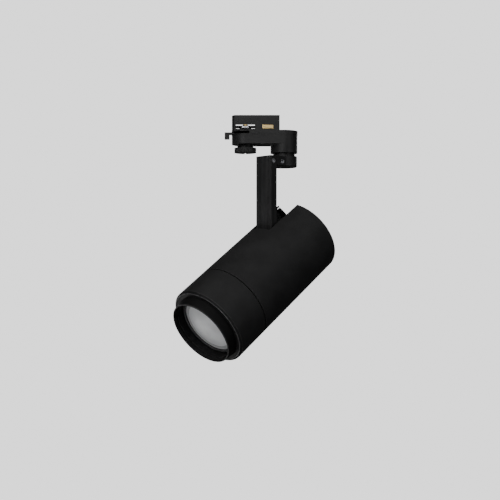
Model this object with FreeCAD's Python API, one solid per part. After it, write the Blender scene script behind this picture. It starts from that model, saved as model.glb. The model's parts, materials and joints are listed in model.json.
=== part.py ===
# Track-mounted zoom spotlight: a cylindrical LED head with a turning zoom sleeve, hung by a flat arm
# from a swivel under a three-circuit track adapter. Millimetres, +Z up.
#
# Row frame:  origin on the swivel axis, in the plane of the track's underside; +X runs along the track.
# Arm frame:  the row frame turned about Z, so that its X is the way the arm faces. Its Y is the hinge axis.
# Head frame: X runs along the beam from the housing's rear rim, Z is the side where the arm comes out.
import FreeCAD, Part
import math
import os
from FreeCAD import Matrix, Vector

# --- the pose at rest ---
PAN = 223.25  # degrees from the row's X to the way the arm faces
TILT = 33.7  # degrees of the beam below the horizontal

# --- clearances ---
RUN = 0.06  # radial, round parts that turn or slide in one another
SLIP = 0.1  # radial, round parts that are put together and stay
HOLE_GAP = 0.05  # radial, round a screw or a pin
PASS = 0.3  # between parts that move past each other
CUT_PAST = 1.0  # how far a cut runs past the wall it goes through
CUT_FAR = 6.0  # how far a cut runs out over a domed face
TOUCH = 1e-6  # edges this close to a plane lie in it

# --- screws ---
M3_R = 1.5
M3_HEAD_R = 2.75
M3_HEAD_H = 3.0
M3_KEY_R = 1.45
M3_KEY_DEPTH = 1.6
SUNK_KEY_DEPTH = 0.75
M3_THREAD = 6.0  # how far a screw reaches into its thread
FLUSH = 0.2  # a sunk screw head's top under the face it is in

# --- track adapter ---
ADAPTER_R = 14.85  # of both round ends, about the selector's axis and the swivel's
ADAPTER_BOTTOM = -14.7
ADAPTER_WALL = 2.0
COVER_H = 4.6
COVER_PROUD = 0.3
COVER_TOP_WALL = 1.0
BOSS_BOTTOM = -24.2
BOSS_WALL = 3.7
BOSS_FLOOR = 3.5
NECK_HALF = 8.8
NECK_RIGHT = -5.0
NECK_H = 17.0
NECK_WALL = 1.2
NECK_TOP_WALL = 1.4
COVER_SCREW_BACK = 2.7  # from halfway between the two axes towards the selector
COVER_SCREW_INSET = 3.85  # from the adapter's side
COVER_POST_R = 3.4
SHAFT_HOLE_SKIN = 0.2  # over the selector shaft's blind hole

# --- circuit selector and lock, on one axis ---
SELECTOR_X = -42.6
SELECTOR_SHAFT_R = 2.5
KNOB_R = 12.1
KNOB_TOP = -18.4
KNOB_BOTTOM = -23.6
KNOB_FLUTES = 30
KNOB_FLUTE_R = 0.55
KNOB_POINTER_W = 1.4
KNOB_POINTER_DEPTH = 0.8
COLLAR_R = 8.9
COLLAR_H = 3.5
POST_R = 6.0
LEVER_TOP = -1.3
LEVER_T = 2.1
LEVER_HUB_R = 8.0
LEVER_W = 8.0
LEVER_OUT = 7.95  # past the adapter's round end
LEVER_TAB_T = 5.3
LEVER_TAB_BOTTOM = -8.5
LEVER_SWING = 90.0
LEVER_TUBE_WALL = 1.3
LEVER_TUBE_TOP = 6.6
CAM_Z = 2.4
CAM_T = 2.0
CAM_REACH = 12.0
CAM_W = 7.0
CAM_HUB_R = 6.5
NEUTRAL_Z = 5.0
PHASE_Z = (8.0, 11.0, 14.0)
PHASE_STEP = 60.0
CONTACT_T = 1.0
CONTACT_REACH = 11.6
CONTACT_W = 3.0
CONTACT_RING_WALL = 1.7
WINDOW_SIDE = 0.45
WINDOW_GAP = 0.4
EARTH_RIGHT = 7.0  # from the neck's right end
EARTH_LEN = 12.0
EARTH_Z = (2.2, 6.2)
EARTH_T = 0.6
EARTH_SINK = 0.4
TERMINAL = (14.0, 18.0, 7.0)
TERMINAL_BACK = 1.7
TERMINAL_HOLE_R = 1.6
TERMINAL_PITCH = 4.5

# --- swivel ---
PAN_TUBE_R = 5.0
PAN_TUBE_BORE_R = 3.5
NUT_FLATS = 14.0
NUT_H = 3.6
PAN_TUBE_ABOVE_NUT = 2.0
SPACER_R = 12.0
SPACER_H = 3.7
STOP_LUG_R = 1.5
STOP_LUG_H = 2.2
STOP_RADIUS = 9.0
STOP_GROOVE_HALF = 1.8
STOP_GROOVE_DEPTH = 2.5
STOP_WEB_DEG = 10.0
PAN_MID = 270.0  # the way the arm faces halfway between its stops
HUB_R = 14.4
HUB_H = 11.7
HUB_BORE_LEN = 5.4
HUB_RECESS_R = 9.0
HUB_CHAMFER = 1.0
HUB_SLIT = 1.0
HUB_SLIT_END = 19.0
WASHER_T = 1.0
HUB_CAP_T = 1.2
BLOCK_DROP = 1.1  # the block's top under the hub's top
SWIVEL_SCREW_DROP = 6.9  # the socket screws' axis under the hub's top
CLAMP_SCREW_X = 13.5
LEAD_W = 6.0
LEAD_H = 2.2

# --- arm ---
ARM_OFFSET = 27.0  # from the swivel axis to the arm's middle
ARM_W = 23.2
ARM_T = 9.06
ARM_EDGE = 0.4
ARM_CHANNEL_W = 15.0
ARM_CHANNEL_D = 5.2
ARM_POCKET_FRONT = 1.9
ARM_TOP_WALL = 1.9
ARM_POCKET_H = 11.2
ARM_CHANNEL_FOOT = 9.9  # from the pivot up to the channel's lower end
ARM_COVER_T = 1.2
ARM_COVER_GAP = 0.1
ARM_WINDOW = 6.0
ARM_COVER_CLIP = 4.0
ARM_COVER_CLIPS = (0.25, 0.75)  # where they stand along the cover
TONGUE_GAP = 0.15
PIVOT_Z = -113.9

# --- hinge ---
PIVOT_S = 46.0  # along the head from its rear rim
PIVOT_DEPTH = 11.5  # in from the housing's outside
PIN_R = 3.0
PIN_HEAD_R = 4.6
PIN_HEAD_H = 2.5
HINGE_WASHER_T = 0.8
EAR_T = 1.8
EAR_R = 6.2
BRACKET_T = 1.5
BRACKET_REAR = 8.0
BRACKET_FRONT = 6.0
BRACKET_SCREW_Y = 7.0
BRACKET_SCREW_BACK = 4.5
FOLD_GAP = 0.97  # between the folded arm and the bracket's base

# --- head housing ---
TUBE_R = 44.0
TUBE_WALL = 2.0
SEAM_S = 128.2
SEAM_GAP = 1.0
EDGE_BREAK = 0.5
SLOT_SIDE = 2.7  # beside the arm, each way
SLOT_AHEAD = 1.0  # from the upright arm's front face to the slot's end
SLOT_CORNER_R = 1.5
LINER_SIDE = 0.7  # beside the hinge pin's ends
LINER_WALL = 1.2
LINER_FLOOR = 1.5
GROMMET_BACK = 24.0  # behind the hinge
GROMMET_R = 5.0
GROMMET_LIP = 1.2
GROMMET_BORE_R = 2.8

# --- rear cap ---
DOME_R = 93.0
DOME_WALL = 2.2
CAP_GAP = 0.7  # round the cap, inside the housing's bore
CAP_RIM_S = -1.5
CAP_SKIRT = 2.5
CAP_SKIRT_WALL = 2.0
CAP_NOTCH_STEP = 1.0  # over the liner's floor
CAP_SCREW_INSET = 5.3  # from the bore
CAP_SCREW_DEG = (-26.0, 206.0)
STANDOFF_R = 3.0
STANDOFF_END = 2.0

# --- bulkhead, driver and heat sink ---
BULKHEAD_AHEAD = 3.07  # ahead of the slot's end
BULKHEAD_T = 1.6
BULKHEAD_GAP = 0.5
SHELF_BACK = 10.0  # behind the hinge
SHELF_HALF = 13.0
SHELF_T = 1.7
SINK_POST_INSET = 9.4  # from the bore
SINK_POST_DEG = (18.0, 162.0)
SINK_POST_R = 4.0
DRIVER_REAR = 4.0
DRIVER_SIDE_GAP = 1.25  # beside the bulkhead screws' heads
DRIVER_GAP = 2.4  # at its lower corners, inside the bore
DRIVER_WALL = 1.8
BOARD_T = 1.6
TRANSFORMER = (16.0, 18.0, 18.0)  # along the head, across it and up
TRANSFORMER_AHEAD = 14.0
TRANSFORMER_Y = 1.0
CHOKE_R = 6.0
CHOKE_H = 12.0
CHOKE_BACK = 7.0
CHOKE_Y = -12.0
CAPACITOR_R = 4.5
CAPACITOR_H = 20.0
CAPACITOR_AHEAD = 6.0
CAPACITOR_PITCH = 16.0
LIGHT_ROOM = 12.0  # from the heat sink's face to the guide tube's flange
SINK_DISC_T = 6.0
SINK_CORE_R = 13.0
FIN_T = 1.8
FIN_PITCH = 6.0
FIN_AHEAD = 3.8  # ahead of the bulkhead
FIN_GAP = 1.5
HOUSING_SCREW_DEG = (240.0, 300.0)
HOUSING_SCREW_LEN = 9.0

# --- light source ---
LED_BOARD_HALF = 14.0
LED_BOARD_T = 1.5
EMITTER_R = 9.5
EMITTER_T = 0.9
HOLDER_R = 21.0
HOLDER_T = 3.5
HOLDER_BORE_R = 10.5
HOLDER_SCREW_R = 17.6
REFLECTOR_FLARE = 11.5  # from its throat to its mouth, unless the guide tube's mouth is smaller
REFLECTOR_WALL = 1.0
REFLECTOR_LEN = 8.1
REFLECTOR_LIP = 3.0

# --- guide tube ---
GUIDE_FACE_BACK = 4.2  # behind the seam
GUIDE_FLANGE_T = 4.0
GUIDE_MOUTH_INSET = 4.0  # inside the screws' circle
GUIDE_SKIRT_WALL = 2.0
GUIDE_WALL = 1.58
GUIDE_END_BACK = 3.1  # behind the front hood
GUIDE_SCREW_INSET = 4.0  # inside the guide's bore
GUIDE_SCREW_DEG = (30.0, 150.0, 270.0)
CIRCLIP_BACK = 1.7  # behind the guide's end
CIRCLIP_T = 1.1
CIRCLIP_SINK = 0.6
CIRCLIP_OPEN = 7.0

# --- zoom sleeve and its inner barrel ---
SLEEVE_LEN = 40.3
SLEEVE_WALL = 2.0
SLEEVE_BEVEL = 2.0
SLEEVE_FLANGE_T = 3.0
BARREL_INSET = 4.6  # inside the sleeve's bore
BARREL_WALL = 2.76
BARREL_LIP_WALL = 1.0
THRUST_T = 0.6
BARREL_FLANGE_T = 3.0
BARREL_SCREW_INSET = 2.4
BARREL_SCREW_SKIN = 1.0  # in front of its blind hole
BARREL_SCREW_HEAD_R = 2.1
BARREL_SCREW_HEAD_H = 2.2
BARREL_SCREW_SHANK_R = 1.2
BARREL_SCREW_DEG = (30.0, 150.0, 270.0)
HOOD_OUT = 10.9  # in front of the sleeve
HOOD_TAPER = 1.0
HOOD_BEVEL = 0.6
HOOD_LIP_WALL = 1.2
HOOD_SEAT_D = 6.0
HOOD_STEP = 0.8

# --- zoom travel ---
TRAVEL_GAP = 1.0  # behind the carrier, drawn right back
ZOOM_TURN = 110.0
FOLLOWER_AHEAD = 3.0  # ahead of the carrier's rear
FOLLOWER_R = 2.0
FOLLOWER_DEG = (90.0, 210.0, 330.0)
GROOVE_SKIN = 0.9  # outside the groove
FOLLOWER_SIDE = 0.12
GROOVE_END_EASE = 0.03  # the groove's round ends are this much wider than its sides

# --- lens and its carrier ---
CARRIER_BACK = 1.6  # behind the sleeve's front
CARRIER_LEN = 22.4
CARRIER_WALL = 2.3
CARRIER_LENS_WALL = 1.9
CARRIER_LIP_WALL = 1.0
LENS_SHOULDER_W = 3.0
LENS_SHOULDER_T = 1.4
LENS_RING_T = 1.5
LENS_RING_W = 1.65
LENS_FLANGE_T = 2.3
LENS_FLANGE_W = 4.4
LENS_FRONT_RADIUS = 60.0
LENS_BACK_RADIUS = 90.0
GASKET_T = 0.6

# --- sizes and places that follow from those above ---
LEVER_REACH = ADAPTER_R + LEVER_OUT
COVER_SCREW_X = SELECTOR_X / 2 - COVER_SCREW_BACK
COVER_SCREW_Y = ADAPTER_R - COVER_SCREW_INSET
TERMINAL_X = SELECTOR_X / 2 - TERMINAL_BACK
EARTH_X = (NECK_RIGHT - EARTH_RIGHT - EARTH_LEN, NECK_RIGHT - EARTH_RIGHT)
WINDOW_INNER = NECK_HALF - NECK_WALL - PASS
WINDOW_HALF = math.sqrt(CAM_REACH**2 + (CAM_W / 2) ** 2 - WINDOW_INNER**2) + WINDOW_SIDE
TUBE_BORE = TUBE_R - TUBE_WALL
PIVOT_T = TUBE_R - PIVOT_DEPTH
EAR_INSIDE = ARM_W / 2 + HOLE_GAP + HINGE_WASHER_T + HOLE_GAP
EAR_OUTSIDE = EAR_INSIDE + EAR_T
SLOT_HALF = ARM_W / 2 + SLOT_SIDE
SLOT_END = PIVOT_S + ARM_T / 2 + SLOT_AHEAD
LINER_HALF = EAR_OUTSIDE + PIN_HEAD_H + LINER_SIDE
GROMMET_X = PIVOT_S - GROMMET_BACK
CAP_R = TUBE_BORE - CAP_GAP
CAP_SCREW_R = TUBE_BORE - CAP_SCREW_INSET
BULKHEAD_S = SLOT_END + BULKHEAD_AHEAD
BULKHEAD_R = TUBE_BORE - BULKHEAD_GAP
SHELF_REAR = PIVOT_S - SHELF_BACK
SINK_POST_OUT = TUBE_BORE - SINK_POST_INSET
DRIVER_HALF = SINK_POST_OUT * math.cos(math.radians(SINK_POST_DEG[0])) - M3_HEAD_R - DRIVER_SIDE_GAP
DRIVER_BOTTOM = -math.sqrt((TUBE_BORE - DRIVER_GAP) ** 2 - DRIVER_HALF**2)
FIN_R = TUBE_BORE - FIN_GAP
FIN_REAR = BULKHEAD_S + BULKHEAD_T + FIN_AHEAD
GUIDE_FACE = SEAM_S - GUIDE_FACE_BACK
GUIDE_FLANGE_S = GUIDE_FACE - GUIDE_FLANGE_T
SINK_FRONT = GUIDE_FLANGE_S - LIGHT_ROOM
SLEEVE_REAR = SEAM_S + SEAM_GAP / 2
SLEEVE_FRONT = SLEEVE_REAR + SLEEVE_LEN
SLEEVE_BORE = TUBE_R - SLEEVE_WALL
BARREL_R = SLEEVE_BORE - BARREL_INSET
BARREL_BORE = BARREL_R - BARREL_WALL
BARREL_RECESS_R = BARREL_R - BARREL_LIP_WALL
BARREL_SCREW_R = SLEEVE_BORE - BARREL_SCREW_INSET
BARREL_FLANGE_FRONT = SLEEVE_FRONT - SLEEVE_FLANGE_T
BARREL_REAR = GUIDE_FACE + THRUST_T + SLIP
GUIDE_R = BARREL_BORE - RUN
GUIDE_BORE = GUIDE_R - GUIDE_WALL
GUIDE_END = BARREL_FLANGE_FRONT - GUIDE_END_BACK
GUIDE_SCREW_R = GUIDE_BORE - GUIDE_SCREW_INSET
GUIDE_MOUTH_R = GUIDE_SCREW_R - GUIDE_MOUTH_INSET
CIRCLIP_S = GUIDE_END - CIRCLIP_BACK
CIRCLIP_R = BARREL_RECESS_R - PASS
REFLECTOR_FRONT_R = min(HOLDER_BORE_R + REFLECTOR_FLARE, GUIDE_MOUTH_R - REFLECTOR_LIP)
HOOD_R = BARREL_R
HOOD_RIM_S = SLEEVE_FRONT + HOOD_OUT
HOOD_TIP_R = HOOD_R - HOOD_TAPER
HOOD_SEAT_R = HOOD_TIP_R - HOOD_LIP_WALL
HOOD_BORE_R = HOOD_SEAT_R - HOOD_STEP
CARRIER_R = GUIDE_BORE - SLIP
CARRIER_FRONT = SLEEVE_FRONT - CARRIER_BACK
CARRIER_REAR = CARRIER_FRONT - CARRIER_LEN
CARRIER_BORE_R = CARRIER_R - CARRIER_WALL
ZOOM_TRAVEL = CARRIER_REAR - GUIDE_FACE - TRAVEL_GAP
FOLLOWER_S = CARRIER_REAR + FOLLOWER_AHEAD
GROOVE_DEPTH_R = BARREL_R - GROOVE_SKIN
FOLLOWER_TIP_R = GROOVE_DEPTH_R - PASS
LENS_BORE = CARRIER_R - CARRIER_LENS_WALL
LENS_R = LENS_BORE - SLIP
LENS_SHOULDER_R = LENS_BORE - LENS_SHOULDER_W
LENS_RING_R = CARRIER_R - CARRIER_LIP_WALL - HOLE_GAP
LENS_RING_BORE_R = LENS_RING_R - LENS_RING_W
LENS_CURVED_R = LENS_R - LENS_FLANGE_W


# === shapes in the row, arm or head frame ===


def block(x0, x1, y0, y1, z0, z1):
    """A box between two corners."""
    return Part.makeBox(x1 - x0, y1 - y0, z1 - z0, Vector(x0, y0, z0))


def rod_x(r, x0, x1, y=0.0, z=0.0):
    return Part.makeCylinder(r, x1 - x0, Vector(x0, y, z), Vector(1, 0, 0))


def rod_y(r, y0, y1, x=0.0, z=0.0):
    return Part.makeCylinder(r, y1 - y0, Vector(x, y0, z), Vector(0, 1, 0))


def rod_z(r, z0, z1, x=0.0, y=0.0):
    return Part.makeCylinder(r, z1 - z0, Vector(x, y, z0), Vector(0, 0, 1))


def ring_z(r, bore, z0, z1, x=0.0, y=0.0):
    return rod_z(r, z0, z1, x, y).cut(rod_z(bore, z0, z1, x, y))


def ring_x(r, bore, x0, x1):
    return rod_x(r, x0, x1).cut(rod_x(bore, x0, x1))


def hexagon(flats, length, base, axis):
    """A hexagonal prism that starts at base and runs along axis."""
    corner = flats / math.sqrt(3)
    points = [
        Vector(corner * math.cos(math.radians(a)), corner * math.sin(math.radians(a)), 0)
        for a in range(0, 361, 60)
    ]
    prism = Part.Face(Part.makePolygon(points)).extrude(Vector(0, 0, length))
    turn = FreeCAD.Rotation(Vector(0, 0, 1), axis)
    prism.Placement = FreeCAD.Placement(base, turn)
    return prism


def turned(profile):
    """A solid of revolution about the X axis. The profile is a closed run of (x, radius) points."""
    points = [Vector(x, r, 0) for x, r in profile]
    face = Part.Face(Part.makePolygon(points + points[:1]))
    return face.revolve(Vector(0, 0, 0), Vector(1, 0, 0), 360)


def spoke(r, r0, r1, x, degrees):
    """A rod that points out from the X axis, between two radii."""
    a = math.radians(degrees)
    out = Vector(0, math.cos(a), math.sin(a))
    return Part.makeCylinder(r, r1 - r0, Vector(x, 0, 0) + out * r0, out)


def around(radius, degrees):
    """(y, z) of a point on a circle about the X axis."""
    a = math.radians(degrees)
    return radius * math.cos(a), radius * math.sin(a)


def fused(first, *others):
    return first.fuse(list(others)).removeSplitter()


def group(solids):
    return Part.makeCompound(solids)


def socket_screw(face, axis, length, r=M3_R, head_r=M3_HEAD_R, head_h=M3_HEAD_H):
    """A hex-socket screw. Its head's outer face is centred on face and its shank runs along axis."""
    head = Part.makeCylinder(head_r, head_h, face, axis)
    shank = Part.makeCylinder(r, length, face + axis * head_h, axis)
    key = hexagon(M3_KEY_R * math.sqrt(3) * head_r / M3_HEAD_R, M3_KEY_DEPTH, face, axis)
    return fused(head, shank).cut(key)


def screw_room(face, axis, length, r=M3_R, head_r=M3_HEAD_R, head_h=M3_HEAD_H, over=0.0):
    """The hole for a socket_screw, which may start above the face of its head."""
    head = Part.makeCylinder(head_r + HOLE_GAP, head_h + over, face - axis * over, axis)
    return head.fuse(Part.makeCylinder(r + HOLE_GAP, length, face + axis * head_h, axis))


# === frames ===


def head_to_arm(shape):
    """Tilts a head-frame shape about the hinge and hangs it on the arm."""
    out = shape.copy()
    move = Matrix()
    move.move(Vector(-PIVOT_S, 0, -PIVOT_T))
    move.rotateY(math.radians(TILT))
    move.move(Vector(ARM_OFFSET, 0, PIVOT_Z))
    out.transformShape(move)
    return out


def arm_to_row(shape):
    out = shape.copy()
    turn = Matrix()
    turn.rotateZ(math.radians(PAN))
    out.transformShape(turn)
    return out


def head_to_row(shape):
    return arm_to_row(head_to_arm(shape))


# === track adapter ===


def adapter_prism(z0, z1, grow=0.0):
    """The adapter's outline, with a round end about each axis, moved out by grow."""
    r = ADAPTER_R + grow
    return fused(
        block(SELECTOR_X, 0, -r, r, z0, z1),
        rod_z(r, z0, z1, SELECTOR_X),
        rod_z(r, z0, z1),
    )


def cover_screw_places():
    return [(COVER_SCREW_X, side * COVER_SCREW_Y) for side in (-1, 1)]


def adapter_housing():
    floor = ADAPTER_BOTTOM + ADAPTER_WALL
    shell = fused(adapter_prism(ADAPTER_BOTTOM, -COVER_H), rod_z(ADAPTER_R, BOSS_BOTTOM, ADAPTER_BOTTOM))
    shell = shell.cut(adapter_prism(floor, -COVER_H, -ADAPTER_WALL))
    shell = shell.cut(rod_z(ADAPTER_R - BOSS_WALL, BOSS_BOTTOM + BOSS_FLOOR, floor))
    shell = fused(
        shell,
        rod_z(COLLAR_R, ADAPTER_BOTTOM - COLLAR_H, ADAPTER_BOTTOM, SELECTOR_X),
        rod_z(POST_R, floor, LEVER_TOP - LEVER_T - SLIP, SELECTOR_X),
        *[rod_z(COVER_POST_R, floor, -COVER_H, x, y) for x, y in cover_screw_places()],
    )
    shell = shell.cut(rod_z(PAN_TUBE_R + SLIP, BOSS_BOTTOM, floor))
    shell = shell.cut(rod_z(SELECTOR_SHAFT_R + RUN, ADAPTER_BOTTOM - COLLAR_H, 0, SELECTOR_X))
    for x, y in cover_screw_places():
        shell = shell.cut(cover_screw_room(x, y))
    return shell


def cover_screw_face(x, y):
    return Vector(x, y, ADAPTER_BOTTOM + FLUSH)


def cover_screw_length():
    return -ADAPTER_BOTTOM - M3_HEAD_H - COVER_TOP_WALL - FLUSH


def cover_screw_room(x, y):
    return screw_room(cover_screw_face(x, y), Vector(0, 0, 1), cover_screw_length(), over=2 * FLUSH)


def adapter_screws():
    up = Vector(0, 0, 1)
    length = cover_screw_length() - FLUSH
    return group([socket_screw(cover_screw_face(x, y), up, length) for x, y in cover_screw_places()])


def neck_window(z, thick, side):
    """The slit in the neck's wall that a contact or a cam on the selector's axis turns through."""
    x0, x1 = SELECTOR_X - WINDOW_HALF, SELECTOR_X + WINDOW_HALF
    low, high = sorted((side * WINDOW_INNER, side * (NECK_HALF + PASS)))
    return block(x0, x1, low, high, z - WINDOW_GAP, z + thick + WINDOW_GAP)


def lever_room():
    """The space that the lock lever's blade sweeps in the cover's rim."""
    z0 = LEVER_TOP - LEVER_T - PASS
    z1 = -COVER_TOP_WALL
    far = 2 * LEVER_REACH
    half = LEVER_W / 2 + WINDOW_GAP
    centre = Vector(SELECTOR_X, 0, z0)
    sector = Part.makeCylinder(far, z1 - z0, centre, Vector(0, 0, 1), LEVER_SWING)
    sector.rotate(centre, Vector(0, 0, 1), 180)
    along = block(SELECTOR_X - far, SELECTOR_X, -half, half, z0, z1)
    across = block(SELECTOR_X - half, SELECTOR_X + half, -far, 0, z0, z1)
    return sector.fuse([along, across])


def adapter_cover():
    rim_inside = adapter_prism(-COVER_H, -COVER_TOP_WALL, COVER_PROUD - ADAPTER_WALL)
    shell = adapter_prism(-COVER_H, 0, COVER_PROUD).cut(rim_inside)
    shell = shell.cut(lever_room())
    left = SELECTOR_X - ADAPTER_R
    inside = NECK_HALF - NECK_WALL
    neck = block(left, NECK_RIGHT, -NECK_HALF, NECK_HALF, 0, NECK_H).common(adapter_prism(0, NECK_H))
    top = NECK_H - NECK_TOP_WALL
    cavity = block(left, NECK_RIGHT - NECK_WALL, -inside, inside, 0, top)
    cavity = cavity.common(adapter_prism(0, top, -NECK_WALL))
    lead_hole = block(COVER_SCREW_X, NECK_RIGHT - NECK_WALL, -inside / 2, inside / 2, -COVER_TOP_WALL, 0)
    posts = [rod_z(COVER_POST_R, -COVER_H, -COVER_TOP_WALL, x, y) for x, y in cover_screw_places()]
    shell = fused(shell, neck, *posts).cut(cavity).cut(lead_hole)
    shell = shell.cut(rod_z(lever_tube_r() + RUN, -COVER_TOP_WALL, 0, SELECTOR_X))
    shell = shell.cut(rod_z(SELECTOR_SHAFT_R + RUN, 0, NECK_H - SHAFT_HOLE_SKIN, SELECTOR_X))
    for side in (-1, 1):
        shell = shell.cut(neck_window(CAM_Z, CAM_T, side))
        low, high = sorted((side * (NECK_HALF - EARTH_SINK), side * NECK_HALF))
        shell = shell.cut(block(*EARTH_X, low, high, *EARTH_Z))
    shell = shell.cut(neck_window(NEUTRAL_Z, CONTACT_T, -1))
    for z in PHASE_Z:
        shell = shell.cut(neck_window(z, CONTACT_T, 1))
    for x, y in cover_screw_places():
        shell = shell.cut(cover_screw_room(x, y))
    return shell


def earth_contacts():
    plates = []
    for side in (-1, 1):
        inner = NECK_HALF - EARTH_SINK
        low, high = sorted((side * inner, side * (inner + EARTH_T)))
        plates.append(block(*EARTH_X, low, high, *EARTH_Z))
    return group(plates)


def terminal_block():
    length, width, height = TERMINAL
    floor = ADAPTER_BOTTOM + ADAPTER_WALL
    x0 = TERMINAL_X - length / 2
    body = block(x0, x0 + length, -width / 2, width / 2, floor, floor + height)
    body = body.cut(rod_z(COVER_POST_R + PASS, floor, 0, COVER_SCREW_X, COVER_SCREW_Y))
    body = body.cut(rod_z(COVER_POST_R + PASS, floor, 0, COVER_SCREW_X, -COVER_SCREW_Y))
    for i in (-1, 0, 1):
        body = body.cut(rod_x(TERMINAL_HOLE_R, x0, x0 + length, i * TERMINAL_PITCH, floor + height / 2))
    return body


# === circuit selector ===


def selector_knob():
    knob = rod_z(KNOB_R, KNOB_BOTTOM, KNOB_TOP, SELECTOR_X)
    rims = [e for e in knob.Edges if e.Curve.TypeId == "Part::GeomCircle"]
    knob = knob.makeChamfer(EDGE_BREAK, rims)
    for i in range(KNOB_FLUTES):
        a = 2 * math.pi * i / KNOB_FLUTES
        x = SELECTOR_X + KNOB_R * math.cos(a)
        knob = knob.cut(rod_z(KNOB_FLUTE_R, KNOB_BOTTOM, KNOB_TOP, x, KNOB_R * math.sin(a)))
    half = KNOB_POINTER_W / 2
    pointer = block(
        SELECTOR_X - half, SELECTOR_X + half, 0, 2 * KNOB_R, KNOB_BOTTOM, KNOB_BOTTOM + KNOB_POINTER_DEPTH
    )
    return knob.cut(pointer)


def selector_shaft():
    return rod_z(SELECTOR_SHAFT_R, KNOB_TOP, NECK_H - SHAFT_HOLE_SKIN - FLUSH, SELECTOR_X)


def contact_blade(z, thick, bore, ring_r, reach, width, degrees):
    """A flat blade on a ring about the selector's axis."""
    ring = rod_z(ring_r, z, z + thick, SELECTOR_X)
    blade = block(SELECTOR_X, SELECTOR_X + reach, -width / 2, width / 2, z, z + thick)
    blade.rotate(Vector(SELECTOR_X, 0, 0), Vector(0, 0, 1), degrees)
    return fused(ring, blade).cut(rod_z(bore, z, z + thick, SELECTOR_X))


def phase_contacts():
    bore = SELECTOR_SHAFT_R + HOLE_GAP
    return group(
        [
            contact_blade(
                z, CONTACT_T, bore, bore + CONTACT_RING_WALL, CONTACT_REACH, CONTACT_W, 90 - PHASE_STEP * i
            )
            for i, z in enumerate(PHASE_Z)
        ]
    )


# === lock lever ===


def lever_tube_r():
    return SELECTOR_SHAFT_R + SLIP + LEVER_TUBE_WALL


def lock_lever():
    z0 = LEVER_TOP - LEVER_T
    end = SELECTOR_X - LEVER_REACH
    half = LEVER_W / 2
    blade = block(end, SELECTOR_X, -half, half, z0, LEVER_TOP)
    tab = block(end, end + LEVER_TAB_T, -half, half, LEVER_TAB_BOTTOM, LEVER_TOP)
    body = fused(
        rod_z(LEVER_HUB_R, z0, LEVER_TOP, SELECTOR_X),
        blade,
        tab,
        rod_z(lever_tube_r(), z0, LEVER_TUBE_TOP, SELECTOR_X),
    )
    return body.cut(rod_z(SELECTOR_SHAFT_R + SLIP, z0, LEVER_TUBE_TOP, SELECTOR_X))


def lock_cam():
    bore = lever_tube_r() + HOLE_GAP
    lobes = [
        contact_blade(CAM_Z, CAM_T, bore, CAM_HUB_R, CAM_REACH, CAM_W, degrees) for degrees in (90, 270)
    ]
    return fused(*lobes)


def neutral_contact():
    bore = lever_tube_r() + HOLE_GAP
    return contact_blade(
        NEUTRAL_Z, CONTACT_T, bore, bore + CONTACT_RING_WALL, CONTACT_REACH, CONTACT_W, 270
    )


# === swivel ===


def hub_top():
    return BOSS_BOTTOM - SPACER_H


def hub_bottom():
    return hub_top() - HUB_H


def washer_top():
    return hub_top() - HUB_BORE_LEN


def pan_tube():
    top = BOSS_BOTTOM + BOSS_FLOOR + NUT_H + PAN_TUBE_ABOVE_NUT
    return ring_z(PAN_TUBE_R, PAN_TUBE_BORE_R, pan_tube_end(), top)


def pan_tube_end():
    return washer_top() - WASHER_T - NUT_H


def pan_nut_at(z):
    nut = hexagon(NUT_FLATS, NUT_H, Vector(0, 0, z), Vector(0, 0, 1))
    return nut.cut(rod_z(PAN_TUBE_R + HOLE_GAP, z, z + NUT_H))


def adapter_nut():
    return pan_nut_at(BOSS_BOTTOM + BOSS_FLOOR)


def pan_nut():
    return pan_nut_at(pan_tube_end())


def pan_washer():
    outer = HUB_RECESS_R - PASS
    return ring_z(outer, PAN_TUBE_R + HOLE_GAP, washer_top() - WASHER_T, washer_top())


def pan_spacer():
    disc = ring_z(SPACER_R, PAN_TUBE_R + HOLE_GAP, hub_top(), BOSS_BOTTOM)
    a = math.radians(PAN_MID)
    lug = rod_z(
        STOP_LUG_R, hub_top() - STOP_LUG_H, hub_top(), STOP_RADIUS * math.cos(a), STOP_RADIUS * math.sin(a)
    )
    return fused(disc, lug)


def stop_groove():
    """The groove in the hub's top that the spacer's lug runs in, with the web that stops it."""
    z0 = hub_top() - STOP_GROOVE_DEPTH
    z1 = hub_top()
    groove = ring_z(STOP_RADIUS + STOP_GROOVE_HALF, STOP_RADIUS - STOP_GROOVE_HALF, z0, z1)
    web = Part.makeCylinder(HUB_R, z1 - z0, Vector(0, 0, z0), Vector(0, 0, 1), STOP_WEB_DEG)
    web.rotate(Vector(0, 0, 0), Vector(0, 0, 1), 180 - STOP_WEB_DEG / 2)
    return groove.cut(web)


def arm_rear():
    return ARM_OFFSET - ARM_T / 2


def arm_top():
    return hub_top() - BLOCK_DROP


def pocket_front():
    return ARM_OFFSET + ARM_T / 2 - ARM_POCKET_FRONT


def swivel_screw_face(x):
    return Vector(x, ARM_W / 2 - FLUSH, swivel_screw_z())


def swivel_screw_length():
    return ARM_W - FLUSH - M3_HEAD_H - ARM_CHANNEL_D


def swivel_screw_z():
    return hub_top() - SWIVEL_SCREW_DROP


def lead_top():
    return swivel_screw_z() - M3_R - PASS


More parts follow.
